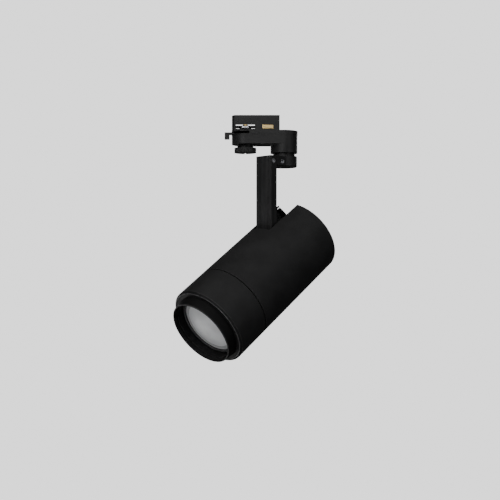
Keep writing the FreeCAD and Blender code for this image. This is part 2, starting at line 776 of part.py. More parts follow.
def swivel_hub():
    top, bottom = hub_top(), hub_bottom()
    body = fused(
        rod_z(HUB_R, bottom, top),
        block(0, arm_rear(), -ARM_W / 2, ARM_W / 2, bottom, top - BLOCK_DROP),
    )
    outline = [
        e
        for e in body.Edges
        if abs(e.BoundBox.ZMin - bottom) < TOUCH
        and e.BoundBox.ZLength < TOUCH
        and e.BoundBox.XMax < arm_rear() + TOUCH
        and not (e.BoundBox.XLength < TOUCH and e.BoundBox.XMin > HUB_R)
    ]
    body = body.makeChamfer(HUB_CHAMFER, outline)
    half = ARM_CHANNEL_W / 2 - TONGUE_GAP
    tongue_top = arm_top() - ARM_TOP_WALL - TONGUE_GAP
    tongue_front = pocket_front() - TONGUE_GAP
    tongue = block(arm_rear() - CUT_PAST, tongue_front, -half, half, bottom + HUB_CHAMFER, tongue_top)
    body = fused(body, tongue)
    body = body.cut(rod_z(PAN_TUBE_R + RUN, bottom, top))
    body = body.cut(rod_z(HUB_RECESS_R, bottom, washer_top()))
    body = body.cut(stop_groove())
    body = body.cut(block(0, HUB_SLIT_END, -HUB_SLIT / 2, HUB_SLIT / 2, swivel_screw_z() - M3_R, top))
    lead = block(0, ARM_OFFSET, -LEAD_W / 2, LEAD_W / 2, lead_top() - LEAD_H, lead_top())
    drop = block(arm_rear() + CUT_PAST, pocket_front(), -LEAD_W / 2, LEAD_W / 2, bottom, lead_top())
    body = body.cut(lead).cut(drop)
    for x in (CLAMP_SCREW_X, ARM_OFFSET):
        body = body.cut(
            screw_room(swivel_screw_face(x), Vector(0, -1, 0), swivel_screw_length(), over=2 * FLUSH)
        )
    return body


def hub_cap():
    return rod_z(HUB_RECESS_R - HOLE_GAP, hub_bottom(), hub_bottom() + HUB_CAP_T)


def arm():
    rear = arm_rear()
    front = ARM_OFFSET + ARM_T / 2
    bar = block(rear, front, -ARM_W / 2, ARM_W / 2, PIVOT_Z, arm_top())
    uprights = [e for e in bar.Edges if e.BoundBox.ZLength > ARM_W]
    bar = bar.makeChamfer(ARM_EDGE, uprights)
    bar = fused(bar, rod_y(ARM_T / 2, -ARM_W / 2, ARM_W / 2, ARM_OFFSET, PIVOT_Z))
    half = ARM_CHANNEL_W / 2
    pocket_top = arm_top() - ARM_TOP_WALL
    channel = block(rear, rear + ARM_CHANNEL_D, -half, half, PIVOT_Z + ARM_CHANNEL_FOOT, pocket_top)
    pocket = block(rear, pocket_front(), -half, half, pocket_top - ARM_POCKET_H, pocket_top)
    bar = bar.cut(channel).cut(pocket)
    bar = bar.cut(rod_y(PIN_R + RUN, -ARM_W, ARM_W, ARM_OFFSET, PIVOT_Z))
    return bar.cut(
        screw_room(swivel_screw_face(ARM_OFFSET), Vector(0, -1, 0), swivel_screw_length(), over=2 * FLUSH)
    )


def arm_cover():
    half = ARM_CHANNEL_W / 2 - ARM_COVER_GAP
    rear = arm_rear()
    low = PIVOT_Z + ARM_CHANNEL_FOOT + ARM_WINDOW
    high = hub_bottom() - ARM_COVER_CLIP
    plate = block(rear, rear + ARM_COVER_T, -half, half, low, high)
    clips = []
    for share in ARM_COVER_CLIPS:
        z = low + share * (high - low)
        for side in (-1, 1):
            y0, y1 = sorted((side * half, side * (half - ARM_COVER_T)))
            clips.append(
                block(rear, rear + ARM_CHANNEL_D - ARM_COVER_GAP, y0, y1, z, z + ARM_COVER_CLIP)
            )
    return fused(plate, *clips)


def socket_screws():
    inward = Vector(0, -1, 0)
    length = swivel_screw_length() - FLUSH
    return group([socket_screw(swivel_screw_face(x), inward, length) for x in (CLAMP_SCREW_X, ARM_OFFSET)])


# === hinge, in the head frame ===


def bracket_top():
    """The height of the bracket's base, just under the arm when it is folded back into the slot."""
    return PIVOT_T - ARM_T / 2 - FOLD_GAP


def liner_floor_top():
    return bracket_top() - BRACKET_T


def bracket_screw_places():
    x = PIVOT_S - BRACKET_SCREW_BACK
    return [Vector(x, side * BRACKET_SCREW_Y, bracket_top()) for side in (-1, 1)]


def sunk_head(face, axis, gap=0.0):
    """A countersunk head whose flat top is centred on face."""
    return Part.makeCone(M3_HEAD_R + gap, M3_R + gap, M3_HEAD_R - M3_R, face, axis)


def bracket_screw_length():
    return BRACKET_T + LINER_FLOOR + SHELF_T


def hinge_bracket():
    base = block(
        PIVOT_S - BRACKET_REAR,
        PIVOT_S + BRACKET_FRONT,
        -EAR_OUTSIDE,
        EAR_OUTSIDE,
        liner_floor_top(),
        bracket_top(),
    )
    ears = []
    for side in (-1, 1):
        y0, y1 = sorted((side * EAR_INSIDE, side * EAR_OUTSIDE))
        ears.append(block(PIVOT_S - EAR_R, PIVOT_S + EAR_R, y0, y1, liner_floor_top(), PIVOT_T))
        ears.append(rod_y(EAR_R, y0, y1, PIVOT_S, PIVOT_T))
    body = fused(base, *ears)
    body = body.cut(rod_y(PIN_R + HOLE_GAP, -ARM_W, ARM_W, PIVOT_S, PIVOT_T))
    down = Vector(0, 0, -1)
    for face in bracket_screw_places():
        body = body.cut(sunk_head(face, down, HOLE_GAP))
        body = body.cut(Part.makeCylinder(M3_R + HOLE_GAP, BRACKET_T, face, down))
    return body


def bracket_screws():
    down = Vector(0, 0, -1)
    screws = []
    for face in bracket_screw_places():
        key = hexagon(M3_KEY_R, SUNK_KEY_DEPTH, face, down)
        shank = Part.makeCylinder(M3_R, bracket_screw_length(), face, down)
        screws.append(fused(sunk_head(face, down), shank).cut(key))
    return group(screws)


def hinge_pin():
    out = EAR_OUTSIDE
    shaft = rod_y(PIN_R, -out - PIN_HEAD_H, out, PIVOT_S, PIVOT_T)
    head = rod_y(PIN_HEAD_R, out, out + PIN_HEAD_H, PIVOT_S, PIVOT_T)
    key = hexagon(PIN_R, M3_KEY_DEPTH, Vector(PIVOT_S, out + PIN_HEAD_H, PIVOT_T), Vector(0, -1, 0))
    return fused(shaft, head).cut(key)


def hinge_nut():
    base = Vector(PIVOT_S, -EAR_OUTSIDE - PIN_HEAD_H, PIVOT_T)
    nut = hexagon(PIN_HEAD_R * math.sqrt(3), PIN_HEAD_H, base, Vector(0, 1, 0))
    return nut.cut(rod_y(PIN_R + HOLE_GAP, -2 * ARM_W, 0, PIVOT_S, PIVOT_T))


def friction_washers():
    washers = []
    for side in (-1, 1):
        inner = ARM_W / 2 + HOLE_GAP
        y0, y1 = sorted((side * inner, side * (inner + HINGE_WASHER_T)))
        disc = rod_y(ARM_T / 2 + FOLD_GAP - PASS, y0, y1, PIVOT_S, PIVOT_T)
        washers.append(disc.cut(rod_y(PIN_R + SLIP, y0, y1, PIVOT_S, PIVOT_T)))
    return group(washers)


# === head housing ===


def housing_screw_s():
    return SINK_FRONT - SINK_DISC_T / 2


def rear_housing():
    end = SEAM_S - SEAM_GAP / 2
    chamfer = [(end - EDGE_BREAK, TUBE_R), (end, TUBE_R - EDGE_BREAK)]
    shell = turned([(0, TUBE_BORE), (0, TUBE_R), *chamfer, (end, TUBE_BORE)])
    slot = block(-TUBE_R, SLOT_END, -SLOT_HALF, SLOT_HALF, 0, 2 * TUBE_R)
    corners = [
        e for e in slot.Edges if e.BoundBox.ZLength > TUBE_R and abs(e.BoundBox.XMin - SLOT_END) < TOUCH
    ]
    shell = shell.cut(slot.makeFillet(SLOT_CORNER_R, corners))
    for degrees in HOUSING_SCREW_DEG:
        shell = shell.cut(spoke(M3_R + HOLE_GAP, TUBE_BORE - CUT_PAST, TUBE_R, housing_screw_s(), degrees))
        shell = shell.cut(housing_screw_head(degrees, HOLE_GAP, CUT_PAST))
    return shell


def housing_screw_head(degrees, gap, over):
    """The countersunk head of a screw through the housing's wall, or with a gap and a rise its hole."""
    y, z = around(1.0, degrees)
    out = Vector(0, y, z)
    face = Vector(housing_screw_s(), 0, 0) + out * (TUBE_R - FLUSH)
    cone = sunk_head(face, out * -1, gap)
    if over:
        cone = cone.fuse(Part.makeCylinder(M3_HEAD_R + gap, over, face, out))
    return cone


def housing_screws():
    screws = []
    for degrees in HOUSING_SCREW_DEG:
        y, z = around(1.0, degrees)
        face = Vector(housing_screw_s(), y * (TUBE_R - FLUSH), z * (TUBE_R - FLUSH))
        shank = spoke(M3_R, TUBE_R - HOUSING_SCREW_LEN, TUBE_R - FLUSH, housing_screw_s(), degrees)
        key = hexagon(M3_KEY_R, SUNK_KEY_DEPTH, face, Vector(0, -y, -z))
        screws.append(fused(housing_screw_head(degrees, 0, 0), shank).cut(key))
    return group(screws)


def slot_liner():
    """The trough under the slot, which keeps the inside closed where the arm folds in."""
    floor = liner_floor_top()
    outer = LINER_HALF + LINER_WALL
    front = BULKHEAD_S
    rear = CAP_RIM_S + CAP_SKIRT + PASS
    body = block(rear, front, -outer, outer, floor - LINER_FLOOR, TUBE_R)
    body = body.cut(block(0, front - LINER_WALL, -LINER_HALF, LINER_HALF, floor, TUBE_R))
    body = body.common(rod_x(TUBE_BORE - SLIP, 0, front))
    body = body.cut(rod_z(GROMMET_R, 0, TUBE_R, GROMMET_X))
    for face in bracket_screw_places():
        body = body.cut(rod_z(M3_R + HOLE_GAP, 0, TUBE_R, face.x, face.y))
    return body


def lead_grommet():
    floor = liner_floor_top()
    r = GROMMET_R - HOLE_GAP
    neck = rod_z(r, floor - LINER_FLOOR, floor, GROMMET_X)
    top = rod_z(GROMMET_R + GROMMET_LIP, floor, floor + GROMMET_LIP, GROMMET_X)
    return fused(neck, top).cut(rod_z(GROMMET_BORE_R, 0, TUBE_R, GROMMET_X))


def dome_centre():
    return CAP_RIM_S + math.sqrt(DOME_R**2 - CAP_R**2)


def dome_s(radius, wall=0.0):
    """Where the dome's outer face, or the face a wall inside it, lies at a radius from the axis."""
    return dome_centre() - math.sqrt((DOME_R - wall) ** 2 - radius**2)


def cap_screw_places():
    return [around(CAP_SCREW_R, degrees) for degrees in CAP_SCREW_DEG]


def cap_screw_s():
    return dome_s(CAP_SCREW_R + M3_HEAD_R) + FLUSH


def rear_cap():
    centre = Vector(dome_centre(), 0, 0)
    shell = Part.makeSphere(DOME_R, centre).cut(Part.makeSphere(DOME_R - DOME_WALL, centre))
    shell = shell.common(rod_x(CAP_R, -DOME_R, CAP_RIM_S))
    skirt = ring_x(CAP_R, CAP_R - CAP_SKIRT_WALL, dome_s(CAP_R - CAP_SKIRT_WALL), CAP_RIM_S + CAP_SKIRT)
    solid_dome = Part.makeSphere(DOME_R, centre)
    skirt = skirt.common(solid_dome)
    bosses = [
        rod_x(STANDOFF_R + HOLE_GAP, -DOME_R / 2, STANDOFF_END, y, z).common(solid_dome)
        for y, z in cap_screw_places()
    ]
    shell = fused(shell, skirt, *bosses)
    notch_z = liner_floor_top() + CAP_NOTCH_STEP
    shell = shell.cut(block(-DOME_R, DOME_R, -SLOT_HALF, SLOT_HALF, notch_z, DOME_R))
    for y, z in cap_screw_places():
        face = Vector(cap_screw_s(), y, z)
        shell = shell.cut(screw_room(face, Vector(1, 0, 0), CUT_FAR, head_h=cap_screw_head(), over=CUT_FAR))
    return shell


def cap_screw_head():
    return M3_HEAD_H / 2


def cap_screws():
    ahead = Vector(1, 0, 0)
    length = STANDOFF_END - cap_screw_s() + M3_THREAD
    return group(
        [
            socket_screw(Vector(cap_screw_s(), y, z), ahead, length, head_h=cap_screw_head())
            for y, z in cap_screw_places()
        ]
    )


def cap_standoffs():
    posts = []
    for y, z in cap_screw_places():
        post = rod_x(STANDOFF_R, STANDOFF_END, BULKHEAD_S, y, z)
        posts.append(post.cut(rod_x(M3_R + HOLE_GAP, STANDOFF_END, STANDOFF_END + 2 * M3_THREAD, y, z)))
    return group(posts)


# === bulkhead, driver, heat sink ===


def sink_post_places():
    return [around(SINK_POST_OUT, degrees) for degrees in SINK_POST_DEG]


def shelf_top():
    return liner_floor_top() - LINER_FLOOR


def rear_bulkhead():
    disc = rod_x(BULKHEAD_R, BULKHEAD_S, BULKHEAD_S + BULKHEAD_T)
    shelf = block(SHELF_REAR, BULKHEAD_S, -SHELF_HALF, SHELF_HALF, shelf_top() - SHELF_T, shelf_top())
    body = fused(disc, shelf)
    for y, z in sink_post_places():
        body = body.cut(rod_x(M3_R + HOLE_GAP, BULKHEAD_S, BULKHEAD_S + BULKHEAD_T, y, z))
    for face in bracket_screw_places():
        body = body.cut(rod_z(M3_R + HOLE_GAP, 0, TUBE_R, face.x, face.y))
    return body


def bulkhead_screws():
    ahead = Vector(1, 0, 0)
    head = BULKHEAD_S - M3_HEAD_H
    return group([socket_screw(Vector(head, y, z), ahead, M3_THREAD) for y, z in sink_post_places()])


def driver_lid_under():
    return shelf_top() - SHELF_T - PASS


def driver_case():
    top = driver_lid_under() - DRIVER_WALL
    outer = block(DRIVER_REAR, BULKHEAD_S, -DRIVER_HALF, DRIVER_HALF, DRIVER_BOTTOM, top)
    inner = block(
        DRIVER_REAR + DRIVER_WALL,
        BULKHEAD_S - DRIVER_WALL,
        DRIVER_WALL - DRIVER_HALF,
        DRIVER_HALF - DRIVER_WALL,
        DRIVER_BOTTOM + DRIVER_WALL,
        top,
    )
    return outer.cut(inner)


def driver_lid():
    top = driver_lid_under()
    return block(DRIVER_REAR, BULKHEAD_S, -DRIVER_HALF, DRIVER_HALF, top - DRIVER_WALL, top)


def driver_board():
    """The driver's circuit board with its transformer, choke and capacitors."""
    low = DRIVER_BOTTOM + 2 * DRIVER_WALL
    margin = 2 * DRIVER_WALL
    x0, x1 = DRIVER_REAR + margin, BULKHEAD_S - margin
    half = DRIVER_HALF - margin
    top = low + BOARD_T
    board = block(x0, x1, -half, half, low, top)
    length, width, height = TRANSFORMER
    x = x0 + TRANSFORMER_AHEAD
    y = TRANSFORMER_Y - width / 2
    transformer = block(x, x + length, y, y + width, top, top + height)
    choke = rod_z(CHOKE_R, top, top + CHOKE_H, x1 - CHOKE_BACK, CHOKE_Y)
    row = x0 + CAPACITOR_AHEAD
    capacitors = [rod_z(CAPACITOR_R, top, top + CAPACITOR_H, row, i * CAPACITOR_PITCH) for i in (-1, 0, 1)]
    return fused(board, transformer, choke, *capacitors)


def heat_sink():
    rear = BULKHEAD_S + BULKHEAD_T
    disc_rear = SINK_FRONT - SINK_DISC_T
    body = [rod_x(TUBE_BORE - SLIP, disc_rear, SINK_FRONT), rod_x(SINK_CORE_R, rear, disc_rear)]
    count = int(FIN_R / FIN_PITCH)
    for i in range(-count, count + 1):
        y = i * FIN_PITCH
        fin = block(FIN_REAR, disc_rear, y - FIN_T / 2, y + FIN_T / 2, -FIN_R, FIN_R)
        body.append(fin.common(rod_x(FIN_R, FIN_REAR, disc_rear)))
    body += [rod_x(SINK_POST_R, rear, disc_rear, y, z) for y, z in sink_post_places()]
    sink = fused(*body)
    for y, z in sink_post_places():
        sink = sink.cut(rod_x(M3_R + HOLE_GAP, rear, rear + M3_THREAD, y, z))
    for degrees in HOUSING_SCREW_DEG:
        sink = sink.cut(
            spoke(M3_R + HOLE_GAP, TUBE_R - HOUSING_SCREW_LEN - HOLE_GAP, TUBE_R, housing_screw_s(), degrees)
        )
    for degrees in GUIDE_SCREW_DEG:
        y, z = around(GUIDE_SCREW_R, degrees)
        sink = sink.cut(rod_x(M3_R + HOLE_GAP, disc_rear, SINK_FRONT, y, z))
    for side in (-1, 1):
        sink = sink.cut(rod_x(M3_R + HOLE_GAP, disc_rear, SINK_FRONT, side * HOLDER_SCREW_R, 0))
    return sink


# === light source ===


def led_board():
    half = LED_BOARD_HALF
    return block(SINK_FRONT, SINK_FRONT + LED_BOARD_T, -half, half, -half, half)


def led_emitter():
    s = SINK_FRONT + LED_BOARD_T
    return rod_x(EMITTER_R, s, s + EMITTER_T)


def led_holder():
    front = SINK_FRONT + HOLDER_T
    half = LED_BOARD_HALF + HOLE_GAP
    body = ring_x(HOLDER_R, HOLDER_BORE_R, SINK_FRONT, front)
    body = body.cut(block(SINK_FRONT, SINK_FRONT + LED_BOARD_T + HOLE_GAP, -half, half, -half, half))
    for side in (-1, 1):
        body = body.cut(rod_x(M3_R + HOLE_GAP, SINK_FRONT, front, side * HOLDER_SCREW_R, 0))
    return body


def holder_screws():
    back = Vector(-1, 0, 0)
    head_h = M3_HEAD_H / 2
    face = SINK_FRONT + HOLDER_T + head_h
    length = HOLDER_T + SINK_DISC_T - M3_R
    return group(
        [
            socket_screw(Vector(face, side * HOLDER_SCREW_R, 0), back, length, head_h=head_h)
            for side in (-1, 1)
        ]
    )


def reflector():
    rear = SINK_FRONT + HOLDER_T
    front = rear + REFLECTOR_LEN
    wall = REFLECTOR_WALL
    lip = GUIDE_MOUTH_R
    return turned(
        [
            (rear, HOLDER_BORE_R),
            (front, REFLECTOR_FRONT_R),
            (front, lip),
            (front - wall, lip),
            (front - wall, REFLECTOR_FRONT_R + wall),
            (rear, HOLDER_BORE_R + wall),
        ]
    )


# === guide tube ===


def follower_room(radius, s0, s1, r0, r1, degrees):
    """A slot along the head, with round ends, through a wall between two radii."""
    ends = [spoke(radius, r0, r1, s, degrees) for s in (s0, s1)]
    middle = block(s0, s1, r0, r1, -radius, radius)
    middle.rotate(Vector(0, 0, 0), Vector(1, 0, 0), degrees)
    return ends[0].fuse([ends[1], middle])


def guide_tube():
    outer = TUBE_BORE - SLIP
    body = turned(
        [
            (GUIDE_FLANGE_S, GUIDE_MOUTH_R),
            (GUIDE_FACE, GUIDE_MOUTH_R),
            (GUIDE_FACE, GUIDE_BORE),
            (GUIDE_END, GUIDE_BORE),
            (GUIDE_END, GUIDE_R),
            (GUIDE_FACE, GUIDE_R),
            (GUIDE_FACE, outer),
            (SINK_FRONT, outer),
            (SINK_FRONT, outer - GUIDE_SKIRT_WALL),
            (GUIDE_FLANGE_S, outer - GUIDE_SKIRT_WALL),
        ]
    )
    for degrees in FOLLOWER_DEG:
        body = body.cut(
            follower_room(
                FOLLOWER_R + FOLLOWER_SIDE,
                FOLLOWER_S - ZOOM_TRAVEL,
                FOLLOWER_S,
                CARRIER_R - CUT_PAST,
                BARREL_R,
                degrees,
            )
        )
    for degrees in GUIDE_SCREW_DEG:
        y, z = around(GUIDE_SCREW_R, degrees)
        face = Vector(GUIDE_FACE - FLUSH, y, z)
        back = Vector(-1, 0, 0)
        body = body.cut(screw_room(face, back, 2 * GUIDE_FLANGE_T, head_h=guide_head(), over=2 * FLUSH))
    ring = ring_x(BARREL_R, GUIDE_R - CIRCLIP_SINK, CIRCLIP_S, CIRCLIP_S + CIRCLIP_T)
    return body.cut(ring)


def guide_head():
    return GUIDE_FLANGE_T / 2


def guide_screws():
    back = Vector(-1, 0, 0)
    length = GUIDE_FACE - guide_head() - FLUSH - SINK_FRONT + SINK_DISC_T - M3_R
    screws = []
    for degrees in GUIDE_SCREW_DEG:
        y, z = around(GUIDE_SCREW_R, degrees)
        screws.append(socket_screw(Vector(GUIDE_FACE - FLUSH, y, z), back, length, head_h=guide_head()))
    return group(screws)


def guide_circlip():
    ring = ring_x(CIRCLIP_R, GUIDE_R - CIRCLIP_SINK + HOLE_GAP, CIRCLIP_S, CIRCLIP_S + CIRCLIP_T)
    return ring.cut(block(0, 2 * CIRCLIP_S, -CIRCLIP_OPEN / 2, CIRCLIP_OPEN / 2, -TUBE_R, 0))


def thrust_ring():
    return ring_x(BARREL_R, GUIDE_R + SLIP, GUIDE_FACE, GUIDE_FACE + THRUST_T)


# === zoom sleeve and barrel ===


def helix_groove(degrees):
    """The groove that leads a follower pin back as the barrel turns, with round ends."""
    r0 = GUIDE_R - CUT_PAST
    mid = (r0 + GROOVE_DEPTH_R) / 2
    half = FOLLOWER_R + FOLLOWER_SIDE
    pitch = ZOOM_TRAVEL * 360 / ZOOM_TURN
    spine = Part.Wire(Part.makeHelix(pitch, ZOOM_TRAVEL, mid))
    slope = math.atan2(pitch, 2 * math.pi * mid)
    out = Vector(1, 0, 0)
    across = Vector(0, -math.sin(slope), math.cos(slope))
    start = Vector(mid, 0, 0)
    depth = (GROOVE_DEPTH_R - r0) / 2
    corners = [
        start + out * (i * depth) + across * (j * half) for i, j in ((-1, -1), (1, -1), (1, 1), (-1, 1))
    ]
    profile = Part.makePolygon(corners + corners[:1])
    groove = spine.makePipeShell([profile], True, True)
    groove.rotate(Vector(0, 0, 0), Vector(0, 1, 0), 90)
    # after the turn onto the X axis the helix starts at -Z, which is 270 degrees round from +Y
    groove.rotate(Vector(0, 0, 0), out, degrees - ZOOM_TURN - 270)
    groove.translate(Vector(FOLLOWER_S - ZOOM_TRAVEL, 0, 0))
    end_r = half + GROOVE_END_EASE
    end_depth = GROOVE_DEPTH_R + GROOVE_END_EASE
    start_hole = spoke(end_r, r0, end_depth, FOLLOWER_S - ZOOM_TRAVEL, degrees - ZOOM_TURN)
    end_hole = spoke(end_r, r0, end_depth, FOLLOWER_S, degrees)
    return [groove, start_hole, end_hole]


def barrel_screw_room(y, z, r_gap):
    return rod_x(BARREL_SCREW_SHANK_R + r_gap, 0, SLEEVE_FRONT - BARREL_SCREW_SKIN, y, z)


def cam_barrel():
    bore = BARREL_BORE
    shoulder = CIRCLIP_S - PASS
    flange_rear = BARREL_FLANGE_FRONT - BARREL_FLANGE_T
    body = turned(
        [
            (BARREL_REAR, bore),
            (shoulder, bore),
            (shoulder, BARREL_RECESS_R),
            (BARREL_FLANGE_FRONT, BARREL_RECESS_R),
            (BARREL_FLANGE_FRONT, SLEEVE_BORE - SLIP),
            (flange_rear, SLEEVE_BORE - SLIP),
            (flange_rear, BARREL_R),
            (BARREL_REAR, BARREL_R),
        ]
    )
    for degrees in FOLLOWER_DEG:
        for cutter in helix_groove(degrees):
            body = body.cut(cutter)
    for degrees in BARREL_SCREW_DEG:
        y, z = around(BARREL_SCREW_R, degrees)
        body = body.cut(barrel_screw_room(y, z, HOLE_GAP))
    return body


def barrel_screws():
    ahead = Vector(1, 0, 0)
    face = BARREL_FLANGE_FRONT - BARREL_FLANGE_T - BARREL_SCREW_HEAD_H
    length = SLEEVE_FRONT - BARREL_SCREW_SKIN - FLUSH - face - BARREL_SCREW_HEAD_H
    shank_r, head_r, head_h = BARREL_SCREW_SHANK_R, BARREL_SCREW_HEAD_R, BARREL_SCREW_HEAD_H
    screws = []
    for degrees in BARREL_SCREW_DEG:
        y, z = around(BARREL_SCREW_R, degrees)
        screws.append(socket_screw(Vector(face, y, z), ahead, length, shank_r, head_r, head_h))
    return group(screws)


def zoom_sleeve():
    rear = SLEEVE_REAR
    flange_bore = HOOD_R + SLIP
    body = turned(
        [
            (rear, SLEEVE_BORE),
            (rear, TUBE_R - EDGE_BREAK),
            (rear + EDGE_BREAK, TUBE_R),
            (SLEEVE_FRONT - SLEEVE_BEVEL, TUBE_R),
            (SLEEVE_FRONT, TUBE_R - SLEEVE_BEVEL),
            (SLEEVE_FRONT, flange_bore),
            (BARREL_FLANGE_FRONT, flange_bore),
            (BARREL_FLANGE_FRONT, SLEEVE_BORE),
        ]
    )
    for degrees in BARREL_SCREW_DEG:
        y, z = around(BARREL_SCREW_R, degrees)
        body = body.cut(barrel_screw_room(y, z, HOLE_GAP))
    return body


def front_hood_ring():
    rear = BARREL_FLANGE_FRONT
    seat = HOOD_RIM_S - HOOD_SEAT_D
    return turned(
        [
            (rear, HOOD_BORE_R),
            (rear, HOOD_R),
            (SLEEVE_FRONT, HOOD_R),
            (HOOD_RIM_S - HOOD_BEVEL, HOOD_TIP_R),
            (HOOD_RIM_S, HOOD_TIP_R - HOOD_BEVEL),
            (HOOD_RIM_S, HOOD_SEAT_R),
            (seat, HOOD_SEAT_R),
            (seat, HOOD_BORE_R),
        ]
    )


# === lens and its carrier ===


def ring_seat_s():
    return CARRIER_FRONT - LENS_RING_T


def lens_seat_s():
    return ring_seat_s() - LENS_FLANGE_T - GASKET_T


def lens_carrier():
    seat = lens_seat_s()
    ring_bore = LENS_RING_R + HOLE_GAP
    body = turned(
        [
            (CARRIER_REAR, CARRIER_BORE_R),
            (seat - LENS_SHOULDER_T, CARRIER_BORE_R),
            (seat - LENS_SHOULDER_T, LENS_SHOULDER_R),
            (seat, LENS_SHOULDER_R),
            (seat, LENS_BORE),
            (ring_seat_s(), LENS_BORE),
            (ring_seat_s(), ring_bore),
            (CARRIER_FRONT, ring_bore),
            (CARRIER_FRONT, CARRIER_R),
            (CARRIER_REAR, CARRIER_R),
        ]
    )
    for degrees in FOLLOWER_DEG:
        body = body.cut(
            spoke(FOLLOWER_R + HOLE_GAP, CARRIER_BORE_R - CUT_PAST, CARRIER_R + CUT_PAST, FOLLOWER_S, degrees)
        )
    return body


def follower_pins():
    return group([spoke(FOLLOWER_R, CARRIER_BORE_R, FOLLOWER_TIP_R, FOLLOWER_S, a) for a in FOLLOWER_DEG])


def lens_gasket():
    return ring_x(LENS_R, LENS_SHOULDER_R, lens_seat_s(), lens_seat_s() + GASKET_T)


def bulge(face_s, radius, curve, ahead):
    """The part of a sphere that stands out of the plane at face_s, as wide as radius there."""
    depth = math.sqrt(curve**2 - radius**2)
    sphere = Part.makeSphere(curve, Vector(face_s - ahead * depth, 0, 0))
    far = face_s + ahead * curve
    return sphere.common(rod_x(curve, *sorted((face_s, far))))


def lens():
    front = ring_seat_s()
    back = front - LENS_FLANGE_T
    return fused(
        rod_x(LENS_R, back, front),
        bulge(front, LENS_CURVED_R, LENS_FRONT_RADIUS, 1),
        bulge(back, LENS_CURVED_R, LENS_BACK_RADIUS, -1),
    )


def lens_retaining_ring():
    return ring_x(LENS_RING_R, LENS_RING_BORE_R, ring_seat_s(), CARRIER_FRONT)


# === what goes in which frame ===

IN_ROW = [
    adapter_housing,
    adapter_cover,
    adapter_screws,
    terminal_block,
    earth_contacts,
    adapter_nut,
    pan_tube,
    pan_nut,
    pan_washer,
    pan_spacer,
    selector_knob,
    selector_shaft,
    phase_contacts,
    lock_lever,
    lock_cam,
    neutral_contact,
]
IN_ARM = [swivel_hub, hub_cap, arm, arm_cover, socket_screws]
IN_HEAD = [
    rear_housing,
    housing_screws,
    slot_liner,
    lead_grommet,
    hinge_bracket,
    bracket_screws,
    hinge_pin,
    hinge_nut,
    friction_washers,
    rear_cap,
    cap_screws,
    cap_standoffs,
    rear_bulkhead,
    bulkhead_screws,
    driver_case,
    driver_lid,
    driver_board,
    heat_sink,
    led_board,
    led_emitter,
    led_holder,
    holder_screws,
    reflector,
    guide_tube,
    guide_screws,
    guide_circlip,
    thrust_ring,
    zoom_sleeve,
    cam_barrel,
    barrel_screws,
    front_hood_ring,
    lens_carrier,
    follower_pins,
    lens,
    lens_gasket,
    lens_retaining_ring,
]


def main():
    os.makedirs("parts", exist_ok=True)
    for builders, place in ((IN_ROW, None), (IN_ARM, arm_to_row), (IN_HEAD, head_to_row)):
        for build in builders:
            shape = build()
            if place:
                shape = place(shape)
            name = build.__name__
            state = "valid" if shape.isValid() else "NOT VALID"
            print(name, len(shape.Solids), round(shape.Volume), "mm3", state)
            shape.exportStep("parts/" + name + ".step")


main()
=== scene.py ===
"""Looks of a zoom track spotlight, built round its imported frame.

Sizes are in millimetres in each sub-assembly's own frame; Place turns them into the frame's metres.
"""

import json
import logging
import math
from dataclasses import dataclass
from enum import Enum
from typing import Iterable, Sequence

import bmesh
import bpy
from mathutils import Matrix, Vector


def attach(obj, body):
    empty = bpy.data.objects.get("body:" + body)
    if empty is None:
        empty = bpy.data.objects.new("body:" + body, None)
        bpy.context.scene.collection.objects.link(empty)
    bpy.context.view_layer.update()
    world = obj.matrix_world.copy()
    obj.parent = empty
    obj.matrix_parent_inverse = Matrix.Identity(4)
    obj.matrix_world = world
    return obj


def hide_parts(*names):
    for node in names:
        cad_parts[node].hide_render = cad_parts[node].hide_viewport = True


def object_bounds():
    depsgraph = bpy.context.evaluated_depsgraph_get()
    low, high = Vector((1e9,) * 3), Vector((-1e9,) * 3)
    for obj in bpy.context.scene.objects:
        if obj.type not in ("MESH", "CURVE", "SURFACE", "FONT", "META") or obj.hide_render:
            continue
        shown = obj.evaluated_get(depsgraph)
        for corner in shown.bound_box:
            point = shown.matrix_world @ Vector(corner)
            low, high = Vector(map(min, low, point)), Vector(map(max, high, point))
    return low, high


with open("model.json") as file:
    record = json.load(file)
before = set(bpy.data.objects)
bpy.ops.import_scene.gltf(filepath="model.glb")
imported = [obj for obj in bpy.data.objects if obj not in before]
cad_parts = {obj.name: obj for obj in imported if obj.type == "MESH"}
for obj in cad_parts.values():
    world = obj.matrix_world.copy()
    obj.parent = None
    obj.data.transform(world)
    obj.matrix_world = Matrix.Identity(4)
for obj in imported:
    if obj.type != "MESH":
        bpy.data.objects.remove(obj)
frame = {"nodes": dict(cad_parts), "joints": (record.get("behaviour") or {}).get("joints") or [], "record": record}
CAD_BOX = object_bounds()

log = logging.getLogger("track_spotlight")

MM = 0.001
MERGE_MM = 0.0005
FLAT_DEGREES = 0.3  # faces that turn by less than this become one
OVERCUT = 1.0  # how far a cutter passes the face that it cuts
EDGE_ROUND = 0.15
SMALL_ROUND = 0.12
FINE_ROUND = 0.1
M3_HEAD_R = 2.75
ROUND_STEPS = 144  # how many faces go round a turned piece
PAINT_COLOUR = (0.0165, 0.0165, 0.0169)
DUST_COLOUR = (0.09, 0.088, 0.085, 1.0)
WHITE_LIGHT = (1.0, 1.0, 1.0, 1.0)
Outline = Sequence[tuple[float, float]]


class Slot(Enum):
    """The record's material slots."""

    PAINT = "black_paint"
    PLASTIC = "black_plastic"
    ANODISED = "black_anodised"
    STEEL = "steel"
    BRASS = "brass"
    ALUMINIUM = "aluminium"
    BOARD = "circuit_board"
    PHOSPHOR = "phosphor"
    WHITE = "white_plastic"
    MIRROR = "mirror_aluminium"
    SLIDE = "slide_plastic"
    GLASS = "lens_glass"
    RUBBER = "rubber"


